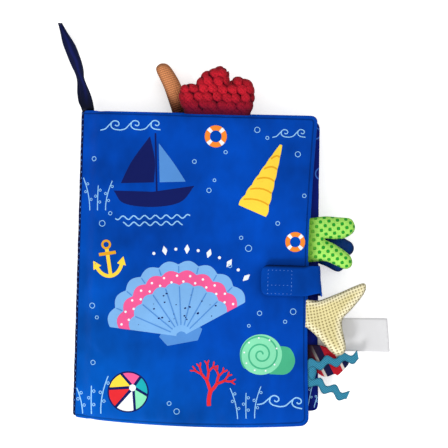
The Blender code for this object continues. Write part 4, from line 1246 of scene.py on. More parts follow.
class Recipe(Nodes):
    """A Geometry Nodes tree with named inputs."""

    def __init__(self, name: str, wanted: Sequence[tuple]) -> None:
        """Start the tree.

        Args:
            name: the tree's name.
            wanted: each input's name and kind of socket, and its default where it has one.
        """
        super().__init__(bpy.data.node_groups.new(name, "GeometryNodeTree"))
        face = self.tree.interface
        face.new_socket("Geometry", in_out="INPUT", socket_type="NodeSocketGeometry")
        self.inputs = {}
        for label, kind, *default in wanted:
            socket = face.new_socket(label, in_out="INPUT", socket_type=f"NodeSocket{kind}")
            if default:
                socket.default_value = default[0]
            self.inputs[label] = socket.identifier
        face.new_socket("Geometry", in_out="OUTPUT", socket_type="NodeSocketGeometry")
        self.given = self.node("NodeGroupInput").outputs

    def vector(self, *values) -> Socket:
        """A vector of up to three components."""
        return self.node("ShaderNodeCombineXYZ", *values).outputs[0]

    def end(self, geometry: Socket, material: Socket) -> None:
        """Make the geometry real, give it its material and let it out."""
        real = self.node("GeometryNodeRealizeInstances", geometry).outputs[0]
        self.node("NodeGroupOutput", self.node("GeometryNodeSetMaterial", real, None, material).outputs[0])

    def work_on(self, obj: Piece, values: dict) -> None:
        """Add the tree to an object, with a value for each named input."""
        made = obj.modifiers.new(self.tree.name, "NODES")
        made.node_group = self.tree
        for label, value in values.items():
            made[self.inputs[label]] = value


class StitchTree(Recipe):
    """Geometry Nodes that set even stitches along a line."""

    def __init__(self) -> None:
        """Build the node tree with its named inputs."""
        super().__init__("stitch_run", (("Stitch Length", "Float", 0.002), ("Stitch Gap", "Float", 0.001),
                                        ("Thread Radius", "Float", 0.0003), ("Seed", "Int", 1),
                                        ("Thread", "Material")))
        given = self.given
        curve = self.node("GeometryNodeMeshToCurve", given["Geometry"]).outputs[0]
        pitch = self.math("ADD", given["Stitch Length"], given["Stitch Gap"])
        spaced = self.node("GeometryNodeResampleCurve", named={"Curve": curve, "Length": pitch}, mode="LENGTH")
        tangent = self.node("GeometryNodeInputTangent").outputs[0]
        aim = self.node("FunctionNodeAlignRotationToVector", named={"Vector": tangent}, axis="X")
        ball = self.node("GeometryNodeMeshUVSphere", 8, 5, 1.0).outputs["Mesh"]
        size = self.vector(self.math("MULTIPLY", given["Stitch Length"], 0.5), given["Thread Radius"],
                           given["Thread Radius"])
        uneven = self.node("FunctionNodeRandomValue", None, None, 0.86, 1.08, named={"Seed": given["Seed"]},
                           data_type="FLOAT").outputs[1]
        scaled = self.node("ShaderNodeVectorMath", size, named={"Scale": uneven}, operation="SCALE").outputs[0]
        put = self.node("GeometryNodeInstanceOnPoints", named={
            "Points": spaced.outputs[0], "Instance": ball, "Rotation": aim.outputs[0], "Scale": scaled})
        self.end(put.outputs[0], given["Thread"])


class BraidTree(Recipe):
    """Geometry Nodes that weave one run of waving braid and join it to what came before."""

    columns: int = 64
    rows: int = 7

    def __init__(self) -> None:
        """Build the node tree with its named inputs."""
        super().__init__("waving_braid", (("Length", "Float"), ("Width", "Float"), ("Sway", "Float"),
                                          ("Wave Length", "Float"), ("Start", "Float"), ("Root", "Vector"),
                                          ("Turn", "Float"), ("Braid", "Material")))
        given = self.given
        strip = self.node("GeometryNodeMeshGrid", given["Length"], given["Width"], self.columns, self.rows)
        x = self.node("ShaderNodeSeparateXYZ", self.node("GeometryNodeInputPosition").outputs[0]).outputs[0]
        half = self.math("MULTIPLY", given["Length"], 0.5)
        turns = self.math("DIVIDE", self.math("ADD", self.math("ADD", x, half), given["Start"]), given["Wave Length"])
        wave = self.math("MULTIPLY", self.math("SINE", self.math("MULTIPLY", turns, 2 * math.pi)), given["Sway"])
        waved = self.node("GeometryNodeSetPosition", strip.outputs["Mesh"], None, None, self.vector(half, wave))
        laid = self.node("GeometryNodeTransform", named={
            "Geometry": waved.outputs[0], "Translation": given["Root"],
            "Rotation": self.vector(None, None, given["Turn"])}).outputs[0]
        joined = self.node("GeometryNodeJoinGeometry",
                           self.node("GeometryNodeSetMaterial", laid, None, given["Braid"]).outputs[0])
        self.tree.links.new(given["Geometry"], joined.inputs[0])
        self.end(joined.outputs[0], given["Braid"])


@dataclass
class Stitching:
    """Rows of stitches that ride on one body."""

    name: str
    thread: Finish
    length: float
    gap: float
    radius: float
    seed: int
    tree: StitchTree

    def sew(self, rows: Sequence[Array], body: str) -> Piece:
        """Set stitches along each row of points and turn them into a plain mesh."""
        edges, base = [], 0
        for row in rows:
            edges += [(base + i, base + i + 1) for i in range(len(row) - 1)]
            base += len(row)
        mesh = bpy.data.meshes.new(self.name)
        mesh.from_pydata([tuple(map(float, p)) for p in np.vstack(rows)], edges, [])
        made = add_object(self.name, mesh)
        self.tree.work_on(made, {"Stitch Length": self.length, "Stitch Gap": self.gap, "Seed": self.seed,
                                 "Thread Radius": self.radius, "Thread": self.thread.material()})
        settled(made)
        made.data.shade_smooth()
        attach(made, body)
        return made


class Toward(Enum):
    """The way that a sewn-in piece points."""

    RIGHT = "right"
    HEAD = "head"


@dataclass
class StuffedTail:
    """A stuffed tail sewn into a leaf's edge: two plies blown up between their seams."""

    node: str
    parent: str
    toward: Toward
    seam: float
    place: float
    z: float
    length: float
    root: float
    crown: float
    sink: float
    shares: tuple
    finish: Finish
    radius: float = 0.007
    ramp: float = 0.009
    neck: float = 0.0
    cloth: float = 0.0006
    step: float = 0.0017
    pucker: float = 0.0005
    fold_pitch: float = 0.0062
    seed: int = 2
    root_tuck: float = 0.0016
    bobbles: bool = False
    air: float = 3.0
    limit: float = 0.0013
    levels: int = 1
    upper: float = 1.0
    swirl: float = 0.0
    inset: float = 0.0007
    bobble_pitch: float = 0.0074
    bobble_height: float = 0.0029

    def swapped(self, flat: Array) -> Array:
        """Pairs turned from (u, v) to (x, y), or back."""
        return flat if self.toward is Toward.RIGHT else np.ascontiguousarray(flat[..., ::-1])

    def world(self, flat: Array, rise: Array) -> Array:
        """World places of points (u, v) that stand rise over the tail's middle plane."""
        z = self.z - self.sink * smooth(flat[:, 0] / self.length) + rise
        return np.column_stack([self.swapped(flat + (self.seam, self.place)), z])

    def local(self, points: Array) -> tuple[Array, Array]:
        """The (u, v) and the rise of world points."""
        flat = self.swapped(points[:, :2]) - (self.seam, self.place)
        return flat, points[:, 2] - self.z + self.sink * smooth(flat[:, 0] / self.length)

    def swell(self, flat: Array) -> Array:
        """How much of the tail's swell a point has, by its distance from the root."""
        return smooth((flat[:, 0] - self.neck + self.ramp / 6) / self.ramp)

    def build(self) -> Piece:
        """Make the shell, blow it up and pucker its seams."""
        free = resampled(spline([(u * self.length, v * self.root) for u, v in self.shares]), self.step)
        free[0, 0] = free[-1, 0] = 0.0
        tucked = np.array([(-self.root_tuck, free[-1, 1]), (-self.root_tuck, free[0, 1])])
        base = resampled(np.vstack([free[-1:], tucked, free[:1]]), self.step)[1:-1]
        outline = turning_left(np.vstack([free, base]))
        extra = [inset_ring(outline, self.inset), lattice(outline, self.step, self.inset + self.step / 2)]
        flat, faces = filled(outline, extra)
        away, _ = nearest_on_chain(flat, free)
        off, _ = nearest_on_chain(flat, closed(outline))
        edge = (self.cloth + 0.00015) * (0.35 + 0.65 * pillow(off / 0.0014))
        rise = edge + self.crown * pillow(away / self.radius) * self.swell(flat)
        faces = walled(faces, len(flat), len(outline))
        if self.toward is Toward.HEAD:
            faces = [f[::-1] for f in faces]
        plies = [self.world(flat, rise + (self.upper - 1) * (rise - edge)), self.world(flat, -rise)]
        tail = make_object(f"{self.node}_cloth", np.vstack(plies), faces, self.finish)
        points = places_of(tail)
        pinned = np.tile(flat[:, 0] < 0.001, 2)
        points = Inflation(self.air, 16, self.limit, 0.02).blown(tail, pinned)
        local, rise = self.local(points)
        away, along = nearest_on_chain(local, free)
        band = smooth(away / 0.0012) * (1 - smooth((away - 0.0015) / 0.0055))
        folds = self.pucker * band * fold_waves(along + 0.0015 * np.sign(rise), self.fold_pitch, self.seed)
        rise = np.sign(rise) * np.maximum(np.abs(rise) - folds * self.swell(local), 0.0002)
        put_places(tail, self.world(local, rise))
        subdivided(tail, self.levels)
        self.mark_cloth(tail, free)
        if self.bobbles:
            self.knot(tail, free)
        return self.dress(tail)

    def mark_cloth(self, tail: Piece, free: Array) -> None:
        """Keep each point's distance from the seam, and its place on the cloth before it was blown up."""
        points = places_of(tail)
        flat, _ = self.local(points)
        away, along = nearest_on_chain(flat, free)
        keep_on(tail, "edge_distance", away)
        seam = np.stack([np.interp(along, travelled(free), free[:, k]) for k in (0, 1)], axis=1)
        out = (seam - flat) / np.maximum(away, 1e-6)[:, None]
        d = np.linspace(self.radius, 0.0, 240)
        z = self.crown * self.upper * pillow(d / self.radius)
        spare = np.concatenate([[0], np.cumsum(np.hypot(np.diff(d), np.diff(z)))]) - (self.radius - d)
        shift = out * (np.interp(away, d[::-1], spare[::-1]) * self.swell(flat))[:, None]
        angle = math.radians(self.swirl) * smooth(flat[:, 0] / 0.03)
        (u, v), cos, sin = flat.T, np.cos(angle), np.sin(angle)
        shift += np.stack([u * cos + v * sin - u, v * cos - u * sin - v], axis=1)
        points[:, :2] += self.swapped(shift)
        keep_on(tail, "cloth_place", points, "FLOAT_VECTOR", "vector")

    def knot(self, tail: Piece, free: Array) -> None:
        """Raise rounded bobbles over the plush and keep how deep each hollow is, for the painted shade there."""
        points = places_of(tail)
        normals = np.empty(len(points) * 3, np.float32)
        tail.data.vertices.foreach_get("normal", normals)
        flat, _ = self.local(points)
        pitch = self.bobble_pitch
        row_step = pitch * math.sqrt(0.75)
        lift = np.zeros(len(flat))
        wobble = np.random.default_rng(9).uniform(-0.15, 0.15, (64, 64, 2))
        for shift in (0, 1):
            row = np.round((flat[:, 0] / row_step - shift) / 2) * 2 + shift
            column = np.round(flat[:, 1] / pitch - 0.5 * shift) + 0.5 * shift
            off = wobble[(row.astype(int) % 64), (np.floor(column).astype(int) % 64)]
            across = flat[:, 1] - (column + off[:, 1]) * pitch
            away = np.hypot(flat[:, 0] - (row + off[:, 0]) * row_step + 0.22 * across, 0.88 * across)
            lift = np.maximum(lift, np.clip(1 - (away / (pitch * 0.62)) ** 2, 0, 1) ** 0.55)
        away, _ = nearest_on_chain(flat, free)
        fade = (0.4 + 0.6 * pillow(away / 0.0016)) * smooth((flat[:, 0] + 0.001) / 0.005)
        move = self.bobble_height * (lift - 0.5) * fade
        put_places(tail, points + normals.reshape(-1, 3) * move[:, None])
        keep_on(tail, "hollow_shade", smooth(1.16 - lift * 1.25) * 0.95)

    def dress(self, tail: Piece) -> Piece:
        """Hide the tail's plies and its stuffing, and bake its transform."""
        plies = [f"{self.node}_front_ply", f"{self.node}_back_ply"]
        if f"{self.node}_stuffing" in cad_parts:
            plies.append(f"{self.node}_stuffing")
        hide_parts(*plies)
        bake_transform(tail)
        return tail


@dataclass
class Strap:
    """The closing strap: a soft band from the back cover, up the fore-edge and over the front cover."""

    tree: StitchTree
    corner: float = 0.006
    fold: float = 0.003
    thickness: float = 0.0013
    split_z: float = 0.0155
    slant: float = 0.13
    gather: float = 0.0028
    cock: float = 0.0009

    def path(self) -> tuple[Array, float]:
        """The band's middle line as rows of length, X and Z, and the length where its two pieces part."""
        anchor, riser, tongue = (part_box(f"strap_{n}") for n in ("anchor", "riser", "tongue"))
        x = (riser[0].x + riser[1].x) / 2
        low = anchor[0].z + 0.0006
        high = tongue[1].z - 0.0006
        turn = np.linspace(0, math.pi / 2, 7)
        lower = np.stack([x - self.fold + self.fold * np.sin(turn), low + self.fold * (1 - np.cos(turn))], 1)
        upper = np.stack([x - self.fold + self.fold * np.cos(turn), high - self.fold * (1 - np.sin(turn))], 1)
        rise = np.array([(x, z) for z in np.linspace(low + self.fold, high - self.fold, 12)])
        over = np.array([(v, high) for v in np.linspace(x - self.fold, tongue[0].x, 26)])
        start = np.array([(anchor[0].x - 0.0015, low), (anchor[0].x + 0.002, low)])
        line = np.vstack([start, lower, rise[1:-1], upper, over[1:]])
        along = travelled(line)
        first = len(start) + len(lower) - 1
        at = np.interp(self.split_z, rise[:, 1], along[first:first + len(rise)])
        return np.column_stack([along, line]), float(at)

    def band(self, name: str, line: Array, first: float, last: float, rounded: bool) -> Piece:
        """A closed soft band between two places along the path."""
        rows = np.unique(np.concatenate([np.arange(first, last, 0.0013), [last]]))
        shares = np.array([-1.0, -0.985, -0.93, -0.8, -0.55, -0.28, 0.0, 0.28, 0.55, 0.8, 0.93, 0.985, 1.0])
        edge = pillow((1 - np.abs(shares)) / 0.10)
        fold_x = line[:, 1].max()

        def at(length: float) -> Array:
            """The X and Z of the middle line at a length."""
            return np.array([np.interp(length, line[:, 0], line[:, k]) for k in (1, 2)])

        def eased(value: float) -> float:
            """Smoothstep of one value."""
            return float(smooth(np.array(value)))
        points = []
        for s in rows:
            end = last - s
            half = BOOK.strap_width / 2
            if rounded and end < self.corner:
                half -= self.corner - math.sqrt(max(self.corner**2 - (self.corner - end) ** 2, 0.0))
            (x, z), (dx, dz) = at(s), at(s + 2e-4) - at(s - 2e-4)
            size = max(math.hypot(dx, dz), 1e-9)
            out = np.array([dz / size, -dx / size])
            thick = self.thickness / 2 * (0.35 + 0.65 * edge)
            if rounded:
                thick = thick * (0.35 + 0.65 * pillow(np.array(end / 0.0016)))
                box = eased(1 - abs(end - 0.0135) / 0.0035)
                thick = thick + 0.00022 * np.sin(shares * 7 + s * 900) * (1 - box) * edge
            near = eased((x - fold_x + 0.014) / 0.014)
            sunk = eased((z - 0.004) / 0.006)
            raised = eased((z - 0.024) / 0.004)
            side = shares * np.where(shares < 0, half - self.gather * near * raised, half)
            lean = np.where(shares < 0, self.slant * -side, -0.6 * self.slant * side) * near * sunk
            lifted = self.cock * smooth((shares + 0.2) / 1.2) * raised * (1 - 0.6 * near)
            for sign in (1, -1):
                ring = np.column_stack([x + lean + sign * out[0] * thick, side - BOOK.strap_drop,
                                        z + lifted + sign * out[1] * thick])
                points.append(ring[::sign])
        around = 2 * len(shares)
        faces = [(i + j, i + around + j, i + around + (j + 1) % around, i + (j + 1) % around)
                 for i in range(0, (len(rows) - 1) * around, around) for j in range(around)]
        faces.append(tuple(range(around)))
        faces.append(tuple(reversed(range((len(rows) - 1) * around, len(rows) * around))))
        band = subdivided(make_object(name, np.vstack(points), faces, STRAP_CLOTH))
        places = places_of(band)
        # Painted shadow: over the tongue's top, away from the fold, this distance runs from the upper edge, so the
        # strap cloth paints a dark band along that edge; elsewhere it is pushed past the band.
        upper = BOOK.strap_width / 2 - BOOK.strap_drop - places[:, 1]
        shaded = smooth((places[:, 2] - 0.0235) / 0.002) * smooth((fold_x - 0.002 - places[:, 0]) / 0.012)
        keep_on(band, "edge_distance", upper + 0.004 * (1 - shaded))
        return band

    def build(self) -> None:
        """Make the lower and upper pieces and the stitched box."""
        line, split = self.path()
        lower = self.band("strap_lower_band", line, 0.0, split + 0.0004, False)
        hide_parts("strap_anchor")
        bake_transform(lower)
        upper = self.band("strap_upper_band", line, split, line[-1, 0], True)
        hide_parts("strap_riser", "strap_tongue")
        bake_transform(upper)
        left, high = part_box("strap_tongue")[0].x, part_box("strap_tongue")[1].z + 0.0001
        x0, x1 = left + 0.0055, left + 0.0238
        y0, y1 = -BOOK.strap_drop - 0.0103, -BOOK.strap_drop + 0.0078
        middle = y0 + (y1 - y0) * 0.36
        rows = []
        for line in ([(x0, y0), (x1, y0), (x1, y1), (x0, y1), (x0, y0)], [(x0, middle), (x1, middle)]):
            row = resampled(np.array(line), 0.0008)
            up = self.cock * smooth(((row[:, 1] + BOOK.strap_drop) / (BOOK.strap_width / 2) + 0.2) / 1.2)
            rows.append(np.column_stack([row, high + up]))
        Stitching("strap_box_stitches", PALE_THREAD, 0.0012, 0.0017, 0.00020, 4, self.tree).sew(rows, "strap_tongue")


@dataclass
class SpineBinding:
    """The rolled cloth binding that runs down the spine seam."""

    sides: int = 14
    step: float = 0.0016

    def build(self) -> Piece:
        """Roll the cloth along the seam, a little puckered between its stitches."""
        low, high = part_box("spine_piping")
        middle = (low + high) / 2
        size = np.array([(high.x - low.x) / 2, (high.z - low.z) / 2])
        rows, sides = int((high.y - low.y) / self.step), self.sides
        t = np.linspace(0, 2 * math.pi, sides, endpoint=False)
        points = []
        for k in range(rows + 1):
            y = low.y + (high.y - low.y) * k / rows
            end = min(k, rows - k) * self.step
            full = float(pillow(np.array(0.12 + end / 0.0018)))
            full *= 1 - 0.10 * (0.5 + 0.5 * math.sin(2 * math.pi * y / 0.0045)) - 0.05 * math.sin(y * 260)
            points.append(np.column_stack([middle.x + size[0] * full * np.cos(t), np.full(sides, y),
                                           middle.z + size[1] * full * np.sin(t)]))
        faces = [(i + j, i + (j + 1) % sides, i + sides + (j + 1) % sides, i + sides + j)
                 for i in range(0, rows * sides, sides) for j in range(sides)]
        faces.append(tuple(reversed(range(sides))))
        faces.append(tuple(range(rows * sides, (rows + 1) * sides)))
        binding = make_object("spine_binding", np.vstack(points), [f[::-1] for f in faces], PIPING_CLOTH)
        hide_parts("spine_piping")
        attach(binding, "back_cover")
        return binding


@dataclass
class TapePatch:
    """One half of the hook-and-loop fastening: a woven pad with rows of pile on its gripping side."""

    node: str
    body: str
    up: bool
    tree: StitchTree
    pitch: float = 0.0011
    pile: float = 0.00022
    radius: float = 0.0015

    def build(self) -> None:
        """Make the pad and its pile."""
        low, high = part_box(self.node)
        way = 1 if self.up else -1
        back, face = (low.z, high.z) if self.up else (high.z, low.z)
        face -= way * self.pile
        corner = polar(self.radius, np.linspace(0, math.pi / 2, 6))
        outline = []
        for k, sign in enumerate(np.array([(1, 1), (-1, 1), (-1, -1), (1, -1)])):
            end = np.where(sign > 0, high[:2], low[:2])
            outline.append(end - sign * self.radius + sign * (corner[::-1] if k % 2 else corner))
        outline = resampled(np.vstack(outline + [outline[0][:1]]), 0.0012)[:-1]
        flat, faces = filled(outline, [lattice(outline, 0.0016, 0.0008)])
        away, _ = nearest_on_chain(flat, closed(outline))
        top = face - way * 0.0002 * (1 - pillow(away / 0.0008))
        layers = [np.column_stack([flat, np.broadcast_to(z, len(flat))]) for z in (top, back)[::way]]
        pad = make_object(f"{self.node}_pad", np.vstack(layers), walled(faces, len(flat), len(outline)), TAPE_PILE)
        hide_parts(self.node)
        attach(pad, self.body)
        x = np.arange(low.x + 0.0012, high.x - 0.0010, 0.0009)
        rows = [np.column_stack([x, np.full(len(x), y), np.full(len(x), face)])
                for y in np.arange(low.y + 0.0011, high.y - 0.0009, self.pitch)]
        Stitching(f"{self.node}_pile", TAPE_PILE, 0.0008, 0.0005, self.pile * 0.9, 6, self.tree).sew(rows, self.body)


@dataclass
class CarryingLoop:
    """The satin ribbon loop at the head of the spine."""

    band: float = 0.0095
    cloth: float = 0.0007
    length: float = 0.069
    lean: float = 0.0245
    rise: float = 0.006
    sag: float = 0.0045
    inset: float = 0.0038
    splay: float = 0.0022
    rows: int = 121

    def build(self) -> Piece:
        """Sweep the ribbon round its loop."""
        t = np.linspace(0.0, 1.0, self.rows)
        out = np.sin(math.pi * t) ** 0.8
        fold = 0.00055
        spread = fold + self.rise * np.sin(2 * math.pi * t) * np.sin(math.pi * t) ** 0.5
        offset = np.where(t < 0.5, np.maximum(spread, fold), np.minimum(spread - 2 * fold, -fold))
        ends = (0.46, 0.54)
        passage = np.interp(t, ends, [offset[int(end * (self.rows - 1))] for end in ends])
        offset = np.where(np.abs(t - 0.5) < 0.04, passage, offset)
        y = BOOK.head_y - 0.0007 + self.length * out
        splay = self.splay * smooth(out / 0.12) * (1 - smooth((out - 0.2) / 0.3)) * (t >= 0.5)
        x = BOOK.seam_x + self.inset - self.lean * out**1.35 - splay
        z = BOOK.seam_z - self.sag * out + offset
        pinch = 1 - 0.42 * np.exp(-((out - 0.36) / 0.14) ** 2) - 0.66 * smooth((out - 0.72) / 0.28)
        cant = self.rise * 0.22 * np.sin(math.pi * out) * np.where(t < 0.5, 1, -1)
        shares = np.linspace(-1, 1, 9)
        half = self.band / 2 * pinch
        places = np.stack([np.column_stack([x + k * half, y, z + k * cant + 0.0005 * np.cos(k * 5 + out * 9) * out])
                           for k in shares], axis=1)
        width = len(shares)
        faces = [(i * width + j, i * width + j + 1, (i + 1) * width + j + 1, (i + 1) * width + j)
                 for i in range(self.rows - 1) for j in range(width - 1)]
        loop = make_object("carrying_loop_ribbon", places.reshape(-1, 3), faces, LOOP_SATIN)
        keep_on(loop, "across", np.tile(shares, self.rows))
        shell = loop.modifiers.new("cloth", "SOLIDIFY")
        shell.thickness, shell.offset = self.cloth, 0.0
        settled(loop)
        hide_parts("carrying_loop")
        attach(loop, "carrying_loop")
        return loop


@dataclass
class SewnRibbon:
    """A single layer of ribbon over a flat outline, sewn into the fore-edge."""

    node: str
    parent: str
    body: str
    seam: float
    place: float
    z: float
    length: float
    sink: float
    thickness: float
    finish: Finish
    slot: str
    ripple: float = 0.0
    tuck: float = 0.002
    step: float = 0.0016

    def corners(self, shares: Sequence, root: float) -> Array:
        """An outline's corners, from shares of the length and of half the root's width."""
        return np.array([(u * self.length - (self.tuck if u == 0 else 0), v * root) for u, v in shares])

    def build(self, outline: Array, name: str) -> Piece:
        """Drape the outline and give it its thickness."""
        outline = turning_left(outline)
        flat, faces = filled(outline, [lattice(outline, self.step, self.step / 3)])
        u, v = flat.T
        z = self.z - self.sink * smooth(u / self.length)
        z = z + self.ripple * np.sin(u * 210 + v * 60) * smooth(u / 0.012)
        return self.sewn(make_object(name, np.column_stack([self.seam + u, self.place + v, z]), faces, self.finish))

    def sewn(self, ribbon: Piece) -> Piece:
        """Give the ribbon its thickness, hide its solid and bake its transform."""
        shell = ribbon.modifiers.new("cloth", "SOLIDIFY")
        shell.thickness, shell.offset = self.thickness, 0.0
        settled(ribbon)
        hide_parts(self.node)
        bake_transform(ribbon)
        return ribbon


@dataclass(frozen=True)
class BraidRun:
    """One straight run of the waving braid, from its root to its tip, in the ribbon's own frame."""

    root: tuple[float, float]
    tip: tuple[float, float]
    width: float
    sway: float
    drop: float
    start: float = 0.0


BRAID_RUNS = (
    BraidRun((-0.0020, 0.0046), (0.0393, 0.0135), 0.0068, 0.0019, 0.0),
    BraidRun((-0.0020, -0.0046), (0.0318, -0.0185), 0.0068, -0.0019, 0.0001),
    BraidRun((0.0026, -0.0074), (0.0026, 0.0074), 0.0080, 0.0006, 0.0002, 0.0032),
)


GREEN_SHARES = (
    (0.0, 1.0), (0.32, 1.10), (0.62, 1.09), (0.87, 1.07), (0.965, 0.86), (0.99, 0.64), (0.94, 0.41),
    (0.775, 0.18), (0.56, 0.10), (0.335, 0.08), (0.55, -0.145), (0.83, -0.54), (0.935, -0.82),
    (0.93, -1.13), (0.81, -1.27), (0.655, -1.18), (0.38, -0.94), (0.20, -0.93), (0.0, -1.0),
)
NAVY_SHARES = (
    (0.0, 0.95), (0.35, 1.0), (0.67, 0.84), (0.80, 0.68), (0.91, 0.56), (0.995, 0.25), (0.97, -0.11),
    (0.84, -0.36), (0.66, -0.33), (0.52, -0.28), (0.66, -0.62), (0.76, -1.0), (0.70, -1.32),
    (0.555, -1.48), (0.255, -1.17), (0.0, -0.90),
)
CREAM_SHARES = (
    (0.0, 1.0), (0.18, 0.97), (0.54, 1.55), (0.757, 1.98), (0.945, 2.29), (0.995, 2.05), (0.965, 1.57),
    (0.88, 1.04), (0.74, 0.31), (0.60, -0.37), (0.605, -1.08), (0.646, -1.79), (0.675, -2.45),
    (0.62, -2.88), (0.512, -2.95), (0.412, -2.68), (0.274, -2.09), (0.138, -1.55), (0.0, -1.06),
)
RED_SHARES = (
    (0.0, -1.0), (0.336, -1.152), (0.563, -1.074), (0.62, -0.88), (0.61, -0.68), (0.71, -0.60),
    (0.858, -0.44), (0.943, -0.18), (0.99, 0.109), (0.891, 0.30), (0.65, 0.35), (0.79, 0.56),
    (0.735, 0.81), (0.661, 1.02), (0.415, 1.093), (0.183, 1.066), (0.0, 1.0),
)
ORANGE_SHARES = (
    (0.0, -0.80), (0.115, -1.08), (0.34, -1.62), (0.57, -2.21), (0.867, -3.21), (0.966, -2.95),
    (0.998, -2.355), (0.935, -1.45), (0.596, 0.0), (0.303, 0.42), (0.115, 0.55), (0.0, 0.75),
)
STRIPED_SHARES = (
    (0.0, 1.0), (0.35, 0.92), (0.645, 0.19), (0.884, -0.53), (1.0, -1.19), (0.86, -2.18), (0.734, -2.8),
    (0.669, -2.6), (0.46, -3.0), (0.263, -2.53), (0.107, -1.58), (0.0, -1.0),
)
LABEL_SHARES = ((0.0, 0.95), (0.95, 1.02), (1.0, -1.05), (0.0, -1.03))


class Trimmings:
    """The tails, ribbons and label round the leaves."""

    wave_length: float = 0.0128

    def build(self) -> None:
        """Make each sewn-in piece."""
        self.stuffed()
        self.ribbons()

    def stuffed(self) -> None:
        """The five tails."""
        right, head, gap = Toward.RIGHT, Toward.HEAD, BOOK.edge_gap
        top, low = BOOK.level_z(3), BOOK.level_z(1)
        tails = (
            StuffedTail("green_fluke", "front_cover", right, BOOK.root_x(3, 0.04295), 0.0257, top, 0.0351, 0.01725,
                        0.0043, 0.0020, GREEN_SHARES, GREEN_VELOUR, ramp=0.0125),
            StuffedTail("navy_fluke", "leaf_two", right, BOOK.root_x(1, 0.0070), 0.0190, low, 0.0288, 0.0120,
                        0.0031, 0.0014, NAVY_SHARES, NAVY_SATIN, pucker=0.0008, seed=3),
            StuffedTail("cream_fluke", "front_cover", right, BOOK.root_x(3, -0.0417), -0.0310, top + 0.0007, 0.0450,
                        0.0107, 0.0007, 0.0006, CREAM_SHARES, CREAM_KNIT, radius=0.006, cloth=0.0005,
                        pucker=0.0003, air=0.8, limit=0.0006, seed=4, upper=3.2, swirl=13.0),
            StuffedTail("red_tail", "front_cover", head, BOOK.head_y + gap, 0.0125, top, 0.0366, 0.0257, 0.0040,
                        0.0050, RED_SHARES, RED_PLUSH, bobbles=True, pucker=0.0002, seed=5, levels=2, limit=0.0008),
            StuffedTail("orange_tail", "leaf_two", head, BOOK.ends(1)[1] + gap, -0.0162, low, 0.0425, 0.0062,
                        0.0053, 0.0024, ORANGE_SHARES, ORANGE_KNIT, radius=0.0062, neck=0.0042, seed=6),
        )
        for tail in tails:
            tell(tail.build())

    def woven(self, ricrac: SewnRibbon, tree: BraidTree) -> Piece:
        """The folded braid: each run by the nodes, then its thickness and its rim's distance."""
        made = add_object("ricrac_braid_ribbon", bpy.data.meshes.new("ricrac_braid_ribbon"))
        for run in BRAID_RUNS:
            root, way = np.array(run.root), np.array(run.tip) - run.root
            tree.work_on(made, {
                "Length": float(np.hypot(*way)), "Width": run.width, "Sway": run.sway,
                "Wave Length": self.wave_length, "Start": run.start - 0.0020,
                "Root": (ricrac.seam + root[0], ricrac.place + root[1], ricrac.z - run.drop),
                "Turn": math.atan2(way[1], way[0]), "Braid": ricrac.finish.material()})
        settled(made)
        points = places_of(made)
        inner = 1 - np.abs(np.tile(np.linspace(-1, 1, tree.rows), tree.columns))
        points[:, 2] -= ricrac.sink * smooth((points[:, 0] - ricrac.seam) / ricrac.length)
        put_places(made, points)
        keep_on(made, "edge_distance", np.concatenate([inner * run.width / 2 for run in BRAID_RUNS[::-1]]))
        return ricrac.sewn(made)

    def ribbons(self) -> None:
        """The label, the braid and the striped ribbon."""
        braid, striped, label = (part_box(n)[1].z for n in ("ricrac_braid", "striped_ribbon", "satin_label"))
        ricrac = SewnRibbon("ricrac_braid", "front_cover", "ricrac_braid", BOOK.root_x(3, -0.0850), -0.0770,
                            braid - 0.00045, 0.0393, 0.0018, 0.0009, TEAL_BRAID, "teal")
        tell(self.woven(ricrac, BraidTree()))
        stripe = SewnRibbon("striped_ribbon", "front_cover", "striped_ribbon", BOOK.root_x(3, -0.0679), -0.0617,
                            striped - 0.0003, 0.0329, 0.0018, 0.0006, STRIPED_WEAVE, "striped", ripple=0.0002)
        corners = stripe.corners(STRIPED_SHARES, 0.0062)
        made = stripe.build(resampled(spline(corners, 6), 0.0015), "striped_ribbon_cloth")
        place, root = -0.0468, 0.0128
        tag = SewnRibbon("satin_label", "leaf_one", "satin_label", BOOK.root_x(2, place - root), place,
                         label - 0.00025, 0.0569, 0.0075, 0.0005, LABEL_SATIN, "label", ripple=0.00025, step=0.002)
        made = tag.build(resampled(closed(tag.corners(LABEL_SHARES, root)), 0.002)[:-1], "satin_label_cloth")
        tell(made)


